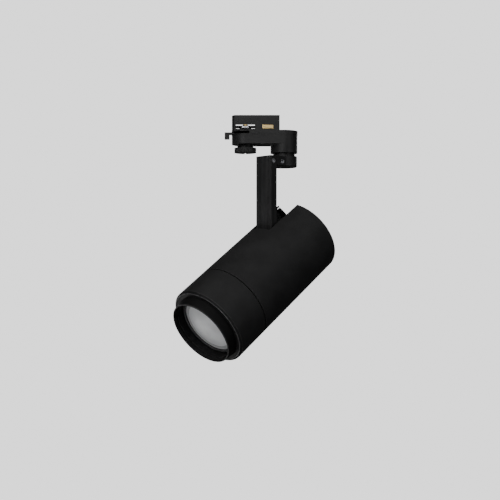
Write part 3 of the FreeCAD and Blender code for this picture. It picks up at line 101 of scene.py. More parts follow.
class Pattern(Enum):
    """How a metal was worked, which sets its streaks."""

    PLATED = "plated"
    TURNED = "turned"
    CAST = "cast"
    POLISHED = "polished"


METAL_GRAIN = {Pattern.PLATED: 1800.0, Pattern.TURNED: 900.0, Pattern.CAST: 1200.0, Pattern.POLISHED: 300.0}


# === frames ===


@dataclass(frozen=True)
class Place:
    """A sub-assembly's own frame, in the row frame's metres."""

    origin: Vector
    x: Vector
    y: Vector
    z: Vector

    def matrix(self) -> Matrix:
        """The matrix from this frame's millimetres to the row frame's metres."""
        turn = Matrix((self.x, self.y, self.z)).transposed().to_4x4()
        return Matrix.Translation(self.origin) @ turn @ Matrix.Scale(MM, 4)

    def span(self, node: str) -> tuple[Vector, Vector]:
        """Lowest and highest corner of a CAD node in this frame.

        Args:
            node: the CAD node's name.

        Returns:
            The two corners, in millimetres.
        """
        inverse = self.matrix().inverted()
        points = [inverse @ v.co for v in frame["nodes"][node].data.vertices]
        low = Vector(min(p[i] for p in points) for i in range(3))
        high = Vector(max(p[i] for p in points) for i in range(3))
        return low, high


def joint(name: str) -> dict:
    """The record's joint of that name."""
    return next(j for j in frame["joints"] if j["name"] == name)


def row_place() -> Place:
    """The row frame itself."""
    return Place(Vector(), Vector((1, 0, 0)), Vector((0, 1, 0)), Vector((0, 0, 1)))


def arm_place() -> Place:
    """The arm's frame: X is the way the arm faces and Y is the hinge's axis.

    Returns:
        The frame, about the row frame's origin.
    """
    hinge = Vector(joint("tilt")["axis"]).normalized()
    up = Vector((0, 0, 1))
    return Place(Vector(), hinge.cross(up), hinge, up)


def head_place() -> Place:
    """The head's frame: X runs along the beam from the casing's rear rim, and Z is the arm's side.

    Returns:
        The frame, about the middle of the rear rim.
    """
    beam = Vector(joint("zoom_turn")["axis"]).normalized()
    hinge = Vector(joint("tilt")["axis"]).normalized()
    through = Vector(joint("zoom_turn")["pos_m"])
    rim = min((v.co - through).dot(beam) for v in frame["nodes"]["rear_housing"].data.vertices)
    return Place(through + beam * rim, beam, hinge, beam.cross(hinge))


# === mesh work ===


def lathe(outline: Outline, steps: int, closed: bool = True) -> bmesh.types.BMesh:
    """Spins an outline about the X axis.

    Args:
        outline: (x, radius) points, in order.
        steps: how many faces go round.
        closed: whether the outline's last point joins its first.

    Returns:
        The turned shape.
    """
    bm = bmesh.new()
    verts = [bm.verts.new((x, 0, r)) for x, r in outline]
    edges = [bm.edges.new(pair) for pair in zip(verts, verts[1:])]
    if closed:
        edges.append(bm.edges.new((verts[-1], verts[0])))
    bmesh.ops.spin(
        bm,
        geom=verts + edges,
        cent=(0, 0, 0),
        axis=(1, 0, 0),
        angle=2 * math.pi,
        steps=steps,
        use_merge=True,
    )
    bmesh.ops.remove_doubles(bm, verts=bm.verts, dist=MERGE_MM)
    bmesh.ops.recalc_face_normals(bm, faces=bm.faces)
    return bm


def arc(centre: tuple[float, float], radius: float, start: float, end: float, points: int) -> Outline:
    """Points along an arc of an outline.

    Args:
        centre: the arc's centre, as (x, radius).
        radius: the arc's own radius.
        start: the first angle, in degrees from +X.
        end: the last angle.
        points: how many points.

    Returns:
        The points, in order.
    """
    turns = [math.radians(start + (end - start) * i / (points - 1)) for i in range(points)]
    return [(centre[0] + radius * math.cos(a), centre[1] + radius * math.sin(a)) for a in turns]


def box_mesh(low: Vector, high: Vector) -> bmesh.types.BMesh:
    """A box between two corners, as a cutter or a blank.

    Args:
        low: the lowest corner.
        high: the highest corner.

    Returns:
        The box.
    """
    bm = bmesh.new()
    bmesh.ops.create_cube(bm, size=1)
    bmesh.ops.scale(bm, vec=high - low, verts=bm.verts)
    bmesh.ops.translate(bm, vec=(low + high) / 2, verts=bm.verts)
    return bm


def rod(radius: float, start: Vector, end: Vector, sides: int = 48) -> bmesh.types.BMesh:
    """A round or many-sided rod.

    Args:
        radius: its radius, out to its corners.
        start: the middle of one end.
        end: the middle of the other end.
        sides: how many faces go round.

    Returns:
        The rod.
    """
    bm = bmesh.new()
    along = end - start
    turn = along.to_track_quat("Z", "Y").to_matrix().to_4x4()
    place = Matrix.Translation((start + end) / 2) @ turn
    bmesh.ops.create_cone(
        bm, cap_ends=True, segments=sides, radius1=radius, radius2=radius, depth=along.length, matrix=place
    )
    return bm


def hidden_object(bm: bmesh.types.BMesh) -> bpy.types.Object:
    """A passing object that holds a shape while it is cut.

    Args:
        bm: the shape, which is used up.

    Returns:
        The object.
    """
    mesh = bpy.data.meshes.new("passing")
    bm.to_mesh(mesh)
    bm.free()
    obj = bpy.data.objects.new("passing", mesh)
    bpy.context.scene.collection.objects.link(obj)
    return obj


def carve(bm: bmesh.types.BMesh, cutters: Iterable[bmesh.types.BMesh]) -> bmesh.types.BMesh:
    """Takes cutters away from a shape.

    Args:
        bm: the shape, which is used up.
        cutters: closed shapes, which are used up too.

    Returns:
        The cut shape.
    """
    blank = hidden_object(bm)
    tools = [hidden_object(cutter) for cutter in cutters]
    for tool in tools:
        cut = blank.modifiers.new("cut", "BOOLEAN")
        cut.operation = "DIFFERENCE"
        cut.solver = "EXACT"
        cut.object = tool
    bpy.context.view_layer.update()
    graph = bpy.context.evaluated_depsgraph_get()
    out = bmesh.new()
    out.from_mesh(blank.evaluated_get(graph).to_mesh())
    for obj in (blank, *tools):
        mesh = obj.data
        bpy.data.objects.remove(obj)
        bpy.data.meshes.remove(mesh)
    bmesh.ops.remove_doubles(out, verts=out.verts, dist=MERGE_MM)
    bmesh.ops.dissolve_degenerate(out, dist=MERGE_MM, edges=out.edges)
    return out


def join(shapes: Sequence[bmesh.types.BMesh]) -> bmesh.types.BMesh:
    """Several shapes as one, still separate shells.

    Args:
        shapes: the shapes, which are used up.

    Returns:
        The joined shape.
    """
    out = bmesh.new()
    for shape in shapes:
        mesh = bpy.data.meshes.new("passing")
        shape.to_mesh(mesh)
        shape.free()
        out.from_mesh(mesh)
        bpy.data.meshes.remove(mesh)
    return out


def soften(bm: bmesh.types.BMesh, width: float, over: float = 40.0, segments: int = 2) -> bmesh.types.BMesh:
    """Rounds a shape's sharp edges and marks the narrow strips for the finish's edge wear, which the paint also
    lightens as a painted edge highlight.

    Args:
        bm: the shape.
        width: how wide the strip is.
        over: edges that turn by more degrees than this are rounded.
        segments: how many faces go across the strip.

    Returns:
        The same shape.
    """
    edge = bm.faces.layers.float.get("edge") or bm.faces.layers.float.new("edge")
    limit = math.radians(over)
    sharp = [e for e in bm.edges if len(e.link_faces) == 2 and e.calc_face_angle() > limit]
    made = bmesh.ops.bevel(
        bm,
        geom=sharp,
        offset=width,
        offset_type="OFFSET",
        affect="EDGES",
        segments=segments,
        profile=0.5,
        material=-1,
        clamp_overlap=True,
    )
    for face in made["faces"]:
        if 2 * face.calc_area() < width * face.calc_perimeter():
            face[edge] = 1.0
    return bm


def copied(node: str, place: Place) -> bmesh.types.BMesh:
    """A CAD node's shape, merged, with its flat faces whole.

    Args:
        node: the CAD node's name.
        place: the frame whose millimetres it is given in.

    Returns:
        The shape.
    """
    bm = bmesh.new()
    bm.from_mesh(frame["nodes"][node].data)
    bmesh.ops.transform(bm, matrix=place.matrix().inverted(), verts=bm.verts)
    bmesh.ops.remove_doubles(bm, verts=bm.verts, dist=MERGE_MM)
    bmesh.ops.dissolve_limit(bm, angle_limit=math.radians(FLAT_DEGREES), verts=bm.verts, edges=bm.edges)
    return bm


# === finishes ===


class Tree:
    """One node tree: adds nodes and joins their sockets."""

    def __init__(self, tree: bpy.types.NodeTree) -> None:
        """Starts on a tree."""
        self.tree = tree

    def add(self, kind: str, **settings: object) -> bpy.types.Node:
        """Adds a node.

        Args:
            kind: the node's type, without its ShaderNode prefix.
            settings: its properties, or its inputs by name with _ for a space.

        Returns:
            The node.
        """
        node = self.tree.nodes.new(kind if kind.startswith("Node") else "ShaderNode" + kind)
        for key, value in settings.items():
            if hasattr(node, key):
                setattr(node, key, value)
            elif key.startswith("in"):
                self.put(node.inputs[int(key[2:])], value)
            else:
                self.put(node.inputs[key.replace("_", " ")], value)
        return node

    def put(self, socket: bpy.types.NodeSocket, value: object) -> None:
        """Joins an output to a socket, or sets the socket's own value.

        Args:
            socket: the input.
            value: an output to join to it, or a plain value.
        """
        if isinstance(value, bpy.types.NodeSocket):
            self.tree.links.new(value, socket)
        else:
            socket.default_value = value

    def maths(
        self, operation: str, first: object, second: object, third: object = 0.0
    ) -> bpy.types.NodeSocket:
        """The result of a Math node on two or three values."""
        return self.add("Math", operation=operation, in0=first, in1=second, in2=third).outputs[0]

    def ramp(
        self, value: object, low: float, high: float, to_low: float, to_high: float
    ) -> bpy.types.NodeSocket:
        """A value moved smoothly from one range to another."""
        ranges = {"in1": low, "in2": high, "in3": to_low, "in4": to_high}
        return self.add("MapRange", interpolation_type="SMOOTHSTEP", in0=value, **ranges).outputs[0]

    def blend(self, share: object, first: object, second: object) -> bpy.types.NodeSocket:
        """Two colours mixed."""
        node = self.add("Mix", data_type="RGBA", in0=share, in6=first, in7=second)
        return node.outputs[2]


def group_tree(
    name: str, inputs: dict[str, float], outputs: Sequence[str]
) -> tuple[Tree, bpy.types.Node, bpy.types.Node]:
    """An empty shader node group.

    Args:
        name: the group's name.
        inputs: each number that goes in after the Vector, with its first value.
        outputs: each number that comes out.

    Returns:
        The tree, its Group Input and its Group Output.
    """
    group = bpy.data.node_groups.new(name, "ShaderNodeTree")
    group.interface.new_socket("Vector", in_out="INPUT", socket_type="NodeSocketVector")
    for label, value in inputs.items():
        socket = group.interface.new_socket(label, in_out="INPUT", socket_type="NodeSocketFloat")
        socket.default_value = value
    for label in outputs:
        group.interface.new_socket(label, in_out="OUTPUT", socket_type="NodeSocketFloat")
    tree = Tree(group)
    return tree, tree.add("NodeGroupInput"), tree.add("NodeGroupOutput")


def grain_group() -> bpy.types.NodeTree:
    """Fine grain: a pebbled height, with slow blotches that shift colour and gloss.

    Returns:
        The group.
    """
    tree, into, out = group_tree("grain", {"Scale": 2500.0, "Blotch Scale": 40.0}, ["Height", "Blotch"])
    at, scale = into.outputs["Vector"], into.outputs["Scale"]
    fine = tree.add("TexNoise", Vector=at, Scale=scale, Detail=2.0, Roughness=0.55)
    pebble = tree.add("TexVoronoi", feature="SMOOTH_F1", Vector=at, Scale=scale, Smoothness=0.6)
    height = tree.maths("MULTIPLY_ADD", pebble.outputs["Distance"], 0.6, fine.outputs[0])
    slow = tree.add("TexNoise", Vector=at, Scale=into.outputs["Blotch Scale"], Detail=4.0, Roughness=0.6)
    tree.put(out.inputs["Height"], height)
    tree.put(out.inputs["Blotch"], tree.ramp(slow.outputs[0], 0.32, 0.68, 0.0, 1.0))
    return tree.tree


def rub_and_highlight_group() -> bpy.types.NodeTree:
    """Edge wear and painted highlight: where a rounded edge has been rubbed, or a piece marks a painted highlight
    or painted light, from the piece's own edge attribute.

    Returns:
        The group.
    """
    tree, into, out = group_tree("rubbed_edge_and_highlight", {"Amount": 0.5}, ["Mask"])
    edge = tree.add("Attribute", attribute_name="edge", attribute_type="GEOMETRY")
    patch = tree.add("TexNoise", Vector=into.outputs["Vector"], Scale=260.0, Detail=5.0, Roughness=0.7)
    rubbed = tree.ramp(patch.outputs[0], 0.38, 0.62, 0.35, 1.0)
    worn = tree.maths("MULTIPLY", edge.outputs["Fac"], rubbed)
    tree.put(out.inputs["Mask"], tree.maths("MULTIPLY", worn, into.outputs["Amount"]))
    return tree.tree


def dust_group() -> bpy.types.NodeTree:
    """Dust that settles on faces that look up, in soft specks.

    Returns:
        The group.
    """
    tree, into, out = group_tree("dust", {"Amount": 0.3}, ["Mask"])
    facing = tree.add("SeparateXYZ", in0=tree.add("TexCoord").outputs["Normal"])
    up = tree.ramp(facing.outputs["Z"], 0.2, 1.0, 0.0, 1.0)
    specks = tree.add("TexNoise", Vector=into.outputs["Vector"], Scale=900.0, Detail=6.0, Roughness=0.75)
    patches = tree.ramp(specks.outputs[0], 0.45, 0.75, 0.15, 1.0)
    settled = tree.maths("MULTIPLY", up, patches)
    tree.put(out.inputs["Mask"], tree.maths("MULTIPLY", settled, into.outputs["Amount"]))
    return tree.tree


@dataclass(frozen=True)
class Kit:
    """The shared node groups, built once."""

    grain: bpy.types.NodeTree
    rub_and_highlight: bpy.types.NodeTree
    dust: bpy.types.NodeTree

    @staticmethod
    def build() -> "Kit":
        """Builds the three groups."""
        return Kit(grain_group(), rub_and_highlight_group(), dust_group())


@dataclass(frozen=True)
class Finish:
    """What every finish shares: a slot, a colour and a gloss."""

    slot: Slot
    colour: tuple[float, float, float]
    roughness: float

    def start(self) -> tuple[bpy.types.Material, Tree, bpy.types.Node, bpy.types.NodeSocket]:
        """Starts a material.

        Returns:
            The material, its tree, its shader and its Object coordinates.
        """
        material = bpy.data.materials.new(self.slot.value)
        material.use_nodes = True
        tree = Tree(material.node_tree)
        shader = material.node_tree.nodes["Principled BSDF"]
        return material, tree, shader, tree.add("TexCoord").outputs["Object"]

    def tint(self, factor: float) -> tuple[float, float, float, float]:
        """The finish's colour, lighter or darker."""
        red, green, blue = self.colour
        return red * factor, green * factor, blue * factor, 1.0


@dataclass(frozen=True)
class Coating(Finish):
    """Paint, anodising or moulded plastic: grain, blotches, rubbed edges that also serve as painted highlights,
    painted shade on faces that a piece marks, and a little dust.
    """

    grain: float = 2500.0
    depth: float = 0.00002
    bump: float = 0.25
    blotch: float = 35.0
    wear_and_highlight: float = 0.5
    wear_and_highlight_factor: float = 2.2
    dust: float = 0.15
    specular: float = 0.5
    dull_factor: float = 0.3
    streak_pitch: float = 0.0
    streak_depth: float = 0.3
    streak_stretch: float = 0.02

    def streaked(
        self, tree: Tree, at: bpy.types.NodeSocket, colour: bpy.types.NodeSocket
    ) -> bpy.types.NodeSocket:
        """A colour with faint lines drawn along Z.

        Args:
            tree: the material's tree.
            at: its Object coordinates.
            colour: the colour without lines.

        Returns:
            The colour with lines.
        """
        drawn = tree.add("Mapping", Vector=at, Scale=(1.0, 1.0, self.streak_stretch))
        lines = tree.add("TexNoise", Vector=drawn.outputs[0], Scale=1.0 / self.streak_pitch, Detail=3.0)
        share = tree.ramp(lines.outputs[0], 0.35, 0.65, 0.0, 1.0)
        dark, light = 1.0 - self.streak_depth, 1.0 + self.streak_depth
        dim = tree.blend(share, (dark,) * 3 + (1.0,), (light,) * 3 + (1.0,))
        lined = tree.add("Mix", data_type="RGBA", blend_type="MULTIPLY", in0=1.0, in6=colour, in7=dim)
        return lined.outputs[2]

    def build(self, kit: Kit) -> bpy.types.Material:
        """Builds the material.

        Args:
            kit: the shared node groups.

        Returns:
            The material.
        """
        material, tree, shader, at = self.start()
        grain = tree.add("Group", node_tree=kit.grain, Vector=at, Scale=self.grain, Blotch_Scale=self.blotch)
        rub_and_highlight = tree.add("Group", node_tree=kit.rub_and_highlight, Vector=at, Amount=self.wear_and_highlight)
        dust = tree.add("Group", node_tree=kit.dust, Vector=at, Amount=self.dust)
        colour = tree.blend(grain.outputs["Blotch"], self.tint(0.86), self.tint(1.14))
        if self.streak_pitch:
            colour = self.streaked(tree, at, colour)
        # Painted shade: faces that a piece marks here take a darker tint, standing in for shade on the sleeve's
        # front bevel and face.
        dull = tree.add("Attribute", attribute_name="dull", attribute_type="GEOMETRY")
        colour = tree.blend(dull.outputs["Fac"], colour, self.tint(self.dull_factor))
        # Rubbed edges lighten; on faces that a piece marks, the same lighter tint is a painted highlight or
        # painted light.
        colour = tree.blend(rub_and_highlight.outputs["Mask"], colour, self.tint(self.wear_and_highlight_factor))
        colour = tree.blend(dust.outputs["Mask"], colour, DUST_COLOUR)
        tree.put(shader.inputs["Base Color"], colour)
        gloss = tree.ramp(grain.outputs["Blotch"], 0.0, 1.0, self.roughness - 0.03, self.roughness + 0.04)
        gloss = tree.maths("MULTIPLY_ADD", rub_and_highlight.outputs["Mask"], -0.12, gloss)
        tree.put(shader.inputs["Roughness"], tree.maths("MULTIPLY_ADD", dust.outputs["Mask"], 0.3, gloss))
        shader.inputs["Specular IOR Level"].default_value = self.specular
        bump = tree.add("Bump", Strength=self.bump, Distance=self.depth, Height=grain.outputs["Height"])
        tree.put(shader.inputs["Normal"], bump.outputs[0])
        return material


@dataclass(frozen=True)
class Metal(Finish):
    """Bare metal, worked in one of four ways."""

    pattern: Pattern = Pattern.PLATED
    depth: float = 0.00001

    def build(self, kit: Kit) -> bpy.types.Material:
        """Builds the material.

        Args:
            kit: the shared node groups.

        Returns:
            The material.
        """
        material, tree, shader, at = self.start()
        scale = METAL_GRAIN[self.pattern]
        grain = tree.add("Group", node_tree=kit.grain, Vector=at, Scale=scale, Blotch_Scale=160.0)
        height = grain.outputs["Height"]
        if self.pattern in (Pattern.TURNED, Pattern.POLISHED):
            rings = tree.add("TexWave", wave_type="BANDS", Vector=at, Scale=700.0, Distortion=0.6)
            height = tree.maths("MULTIPLY_ADD", rings.outputs[1], 0.5, height)
        shader.inputs["Metallic"].default_value = 1.0
        colour = tree.blend(grain.outputs["Blotch"], self.tint(0.82), self.tint(1.1))
        tree.put(shader.inputs["Base Color"], colour)
        gloss = tree.ramp(grain.outputs["Blotch"], 0.0, 1.0, self.roughness + 0.08, self.roughness - 0.05)
        tree.put(shader.inputs["Roughness"], gloss)
        bump = tree.add("Bump", Strength=0.3, Distance=self.depth, Height=height)
        tree.put(shader.inputs["Normal"], bump.outputs[0])
        return material


@dataclass(frozen=True)
class BoardMask(Finish):
    """Green solder mask with a faint weave and lighter copper runs under it."""

    run_pitch: float = 420.0

    def build(self, kit: Kit) -> bpy.types.Material:
        """Builds the material.

        Args:
            kit: the shared node groups.

        Returns:
            The material.
        """
        material, tree, shader, at = self.start()
        grain = tree.add("Group", node_tree=kit.grain, Vector=at, Scale=3000.0, Blotch_Scale=90.0)
        runs = tree.add("TexBrick", Vector=at, Scale=self.run_pitch, Mortar_Size=0.06)
        colour = tree.blend(grain.outputs["Blotch"], self.tint(0.85), self.tint(1.2))
        colour = tree.blend(runs.outputs["Fac"], colour, self.tint(1.8))
        tree.put(shader.inputs["Base Color"], colour)
        gloss = tree.ramp(grain.outputs["Blotch"], 0.0, 1.0, self.roughness, 0.5)
        tree.put(shader.inputs["Roughness"], gloss)
        bump = tree.add("Bump", Strength=0.2, Distance=0.00003, Height=runs.outputs["Fac"])
        tree.put(shader.inputs["Normal"], bump.outputs[0])
        return material


@dataclass(frozen=True)
class Phosphor(Finish):
    """The light source's gel, with the dies showing through in rows."""

    die_pitch: float = 520.0

    def build(self, kit: Kit) -> bpy.types.Material:
        """Builds the material.

        Args:
            kit: the shared node groups.

        Returns:
            The material.
        """
        material, tree, shader, at = self.start()
        grain = tree.add("Group", node_tree=kit.grain, Vector=at, Scale=1500.0, Blotch_Scale=200.0)
        dies = tree.add(
            "TexVoronoi", feature="F1", distance="CHEBYCHEV", Vector=at, Scale=self.die_pitch, Randomness=0.0
        )
        near = tree.ramp(dies.outputs["Distance"], 0.2, 0.45, 1.0, 0.0)
        colour = tree.blend(near, self.tint(1.0), self.tint(0.72))
        tree.put(shader.inputs["Base Color"], tree.blend(grain.outputs["Blotch"], colour, self.tint(1.05)))
        tree.put(shader.inputs["Roughness"], tree.ramp(near, 0.0, 1.0, self.roughness, 0.3))
        bump = tree.add("Bump", Strength=0.3, Distance=0.00005, Height=near)
        tree.put(shader.inputs["Normal"], bump.outputs[0])
        return material


@dataclass(frozen=True)
class FrostedGlass(Finish):
    """Moulded glass with a lightly frosted face, and soft blotches where the frosting is thicker."""

    transmission: float = 0.3
    flange_factor: float = 0.5
    blotch: float = 70.0

    def build(self, kit: Kit) -> bpy.types.Material:
        """Builds the material.

        Args:
            kit: the shared node groups.

        Returns:
            The material.
        """
        material, tree, shader, at = self.start()
        grain = tree.add("Group", node_tree=kit.grain, Vector=at, Scale=1400.0, Blotch_Scale=self.blotch)
        colour = tree.blend(grain.outputs["Blotch"], self.tint(0.9), self.tint(1.05))
        clear = tree.add("Attribute", attribute_name="clear", attribute_type="GEOMETRY")
        colour = tree.blend(clear.outputs["Fac"], colour, self.tint(self.flange_factor))
        tree.put(shader.inputs["Base Color"], colour)
        gloss = tree.ramp(grain.outputs["Blotch"], 0.0, 1.0, self.roughness - 0.06, self.roughness + 0.08)
        tree.put(shader.inputs["Roughness"], gloss)
        shader.inputs["Transmission Weight"].default_value = self.transmission
        shader.inputs["IOR"].default_value = 1.52
        bump = tree.add("Bump", Strength=0.35, Distance=0.00006, Height=grain.outputs["Height"])
        tree.put(shader.inputs["Normal"], bump.outputs[0])
        return material


def all_finishes() -> list[Finish]:
    """Every slot's finish."""
    return [
        # Strong edge tint: rubbed edges lighten, and marked faces such as the sleeve's lip show a painted
        # highlight.
        Coating(Slot.PAINT, PAINT_COLOUR, 0.5, grain=2300.0, depth=0.00003, specular=0.2, wear_and_highlight_factor=4.5),
        Coating(
            Slot.PLASTIC, (0.0145, 0.0145, 0.0148), 0.45, grain=3400.0, bump=0.2, wear_and_highlight=0.3, specular=0.25
        ),
        Coating(Slot.ANODISED, (0.03, 0.03, 0.031), 0.42, grain=4200.0, bump=0.15, wear_and_highlight=0.4, dust=0.05),
        Metal(Slot.STEEL, (0.52, 0.53, 0.55), 0.34),
        Metal(Slot.BRASS, (0.72, 0.53, 0.24), 0.3, Pattern.TURNED),
        Metal(Slot.ALUMINIUM, (0.72, 0.73, 0.75), 0.42, Pattern.CAST, 0.00003),
        BoardMask(Slot.BOARD, (0.02, 0.14, 0.05), 0.32),
        Phosphor(Slot.PHOSPHOR, (0.9, 0.66, 0.12), 0.45),
        Coating(Slot.WHITE, (0.78, 0.78, 0.75), 0.4, grain=3000.0, wear_and_highlight=0.1, wear_and_highlight_factor=1.05, dust=0.0),
        Metal(Slot.MIRROR, (0.9, 0.9, 0.9), 0.1, Pattern.POLISHED),
        Coating(Slot.SLIDE, (0.74, 0.74, 0.71), 0.5, grain=2600.0, wear_and_highlight=0.1, wear_and_highlight_factor=1.05, dust=0.0),
        FrostedGlass(Slot.GLASS, (0.78, 0.79, 0.8), 0.34),
        Coating(Slot.RUBBER, (0.014, 0.014, 0.014), 0.72, grain=1800.0, bump=0.5, wear_and_highlight=0.2, specular=0.3),
    ]


def hood_finish() -> Coating:
    """The hood's matt black, darker than the paint so that it throws no light back into the beam."""
    return Coating(
        Slot.ANODISED,
        (0.0052, 0.0052, 0.0053),
        0.6,
        grain=2200.0,
        depth=0.00005,
        # The strong edge amount and tint are painted light: a painted highlight on the rim and lighter painted
        # light in the bore.
        wear_and_highlight=0.9,
        wear_and_highlight_factor=9.0,
        dust=0.05,
        specular=0.08,
    )


def arm_finish() -> Coating:
    """The paint on the drawn arm, which shows the drawing's faint lines along its length."""
    return Coating(
        Slot.PAINT, PAINT_COLOUR, 0.5, grain=2300.0, depth=0.00003, specular=0.2, streak_pitch=0.0028
    )


# === sub-assemblies ===


@dataclass
class Assembly:
    """What every sub-assembly shares: its frame, and how a shape becomes a dressed piece."""

    place: Place
    finishes: dict[Slot, bpy.types.Material]

    def piece(
        self,
        name: str,
        bm: bmesh.types.BMesh,
        body: str,
        slot: Slot,
        nodes: Sequence[str],
        crease: float = 35.0,
        finish: bpy.types.Material | None = None,
    ) -> bpy.types.Object:
        """Makes a piece from a shape, dresses it and puts it on its body.

        Args:
            name: the piece's name.
            bm: its shape in this frame's millimetres, which is used up.
            body: the CAD body that it rides on.
            slot: the finish.
            nodes: the CAD nodes that it stands for.
            crease: edges that turn by more degrees than this stay sharp.
            finish: the piece's own material, where it isn't the slot's usual one.

        Returns:
            The piece.
        """
        limit = math.radians(crease)
        for face in bm.faces:
            face.smooth = True
        for edge in bm.edges:
            edge.smooth = len(edge.link_faces) == 2 and edge.calc_face_angle() < limit
        bmesh.ops.transform(bm, matrix=self.place.matrix(), verts=bm.verts)
        mesh = bpy.data.meshes.new(name)
        bm.to_mesh(mesh)
        bm.free()
        mesh.materials.append(finish or self.finishes[slot])
        obj = bpy.data.objects.new(name, mesh)
        bpy.context.scene.collection.objects.link(obj)
        even = obj.modifiers.new("even_shading", "WEIGHTED_NORMAL")
        even.keep_sharp = True
        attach(obj, body)
        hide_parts(*nodes)
        log.info("%s: %d faces on %s", name, len(mesh.polygons), body)
        return obj

    def refine(self, node: str, body: str, slot: Slot, width: float = EDGE_ROUND) -> bpy.types.Object:
        """Stands a CAD node's own shape in for it, with softened edges and even shading."""
        bm = soften(copied(node, self.place), width, over=50.0)
        return self.piece(node + "_finished", bm, body, slot, [node])


@dataclass
class Casing(Assembly):
    """The head's tube, its domed rear cap and what shows in the arm's slot."""

    wall: float = 2.0
    steps: int = 160
    rim_round: float = 0.3
    front_chamfer: float = 0.5
    slot_half: float = 14.3
    slot_end: float = 51.53
    slot_corner: float = 1.5
    slot_corner_segments: int = 6
    dome_radius: float = 93.0
    dome_wall: float = 2.2
    dome_points: int = 16
    skirt: float = 2.5
    skirt_wall: float = 2.0
    cap_round: float = 0.25
    notch_floor: float = 26.5
    screw_head_r: float = 2.8
    screw_head_h: float = 2.0
    screw_turns: tuple[float, float] = (240.0, 300.0)
    hole_floor: float = 0.4
    rear_reach: float = 20.0

    def tube(self) -> bpy.types.Object:
        """The tube with the arm's slot and two sunk screw holes.

        Returns:
            The piece.
        """
        corner = self.place.span("rear_housing")[1]
        radius, length = corner.y, corner.x
        inside = radius - self.wall
        outline = [
            (0, inside),
            (0, radius),
            (length - self.front_chamfer, radius),
            (length, radius - self.front_chamfer),
            (length, inside),
        ]
        body = carve(lathe(outline, self.steps), [self.slot_cutter(radius), *self.screw_cutters(radius)])
        return self.piece("casing_tube", soften(body, self.rim_round), "head", Slot.PAINT, ["rear_housing"])

    def slot_cutter(self, radius: float) -> bmesh.types.BMesh:
        """The arm's slot, with rounded front corners.

        Args:
            radius: the tube's outer radius.

        Returns:
            The cutter.
        """
        rear = Vector((-radius, -self.slot_half, 0))
        bm = box_mesh(rear, Vector((self.slot_end, self.slot_half, 2 * radius)))
        front = [e for e in bm.edges if all(abs(v.co.x - self.slot_end) < MERGE_MM for v in e.verts)]
        corners = [e for e in front if abs(e.verts[0].co.z - e.verts[1].co.z) > radius]
        bmesh.ops.bevel(
            bm,
            geom=corners,
            offset=self.slot_corner,
            affect="EDGES",
            segments=self.slot_corner_segments,
            profile=0.5,
            material=-1,
        )
        return bm

    def screw_cutters(self, radius: float) -> list[bmesh.types.BMesh]:
        """The sunk holes of the two screws that hold the heat sink.

        Args:
            radius: the tube's outer radius.

        Returns:
            A cutter for each screw.
        """
        low, high = self.place.span("housing_screws")
        station = Vector(((low.x + high.x) / 2, 0, 0))
        depth = self.wall - self.hole_floor
        out = []
        for degrees in self.screw_turns:
            turn = math.radians(degrees)
            direction = Vector((0, math.cos(turn), math.sin(turn)))
            base = station + direction * radius
            out.append(rod(self.screw_head_r, base - direction * depth, base + direction))
        return out

    def cap(self) -> bpy.types.Object:
        """The shallow domed cap that closes the rear, notched under the arm's slot.

        Returns:
            The piece.
        """
        corner = self.place.span("rear_cap")[1]
        radius, skirt_end = corner.y, corner.x
        rim = skirt_end - self.skirt
        centre = rim + math.sqrt(self.dome_radius**2 - radius**2)
        half = math.degrees(math.asin(radius / self.dome_radius))
        inner_radius = radius - self.skirt_wall
        inner_dome = self.dome_radius - self.dome_wall
        inner_half = math.degrees(math.asin(inner_radius / inner_dome))
        outline = [
            *arc((centre, 0), self.dome_radius, 180, 180 - half, self.dome_points),
            (skirt_end, radius),
            (skirt_end, inner_radius),
            *arc((centre, 0), inner_dome, 180 - inner_half, 180, self.dome_points),
        ]
        notch = box_mesh(
            Vector((-self.dome_radius, -self.slot_half, self.notch_floor)),
            Vector((self.dome_radius, self.slot_half, 2 * radius)),
        )
        body = carve(lathe(outline, ROUND_STEPS, closed=False), [notch, *self.cap_screw_cutters()])
        return self.piece("rear_cap_dome", soften(body, self.cap_round), "head", Slot.PAINT, ["rear_cap"])

    def cap_screw_cutters(self) -> list[bmesh.types.BMesh]:
        """The sunk holes of the cap's two screws.

        Returns:
            A cutter for each screw.
        """
        low, high = self.place.span("cap_screws")
        side = high.y - M3_HEAD_R
        height = (low.z + high.z) / 2
        floor = low.x + self.screw_head_h
        return [
            rod(self.screw_head_r, Vector((-self.rear_reach, y, height)), Vector((floor, y, height)))
            for y in (-side, side)
        ]

    def build(self) -> None:
        """Builds and dresses every piece."""
        self.tube()
        self.cap()
        self.refine("slot_liner", "head", Slot.ANODISED)
        self.refine("lead_grommet", "head", Slot.RUBBER)
        for node in ("hinge_bracket", "hinge_pin", "hinge_nut", "bracket_screws"):
            self.refine(node, "head", Slot.STEEL)
        self.refine("friction_washers", "head", Slot.SLIDE, FINE_ROUND)
        self.refine("cap_screws", "head", Slot.STEEL, SMALL_ROUND)
        self.refine("housing_screws", "head", Slot.STEEL, SMALL_ROUND)


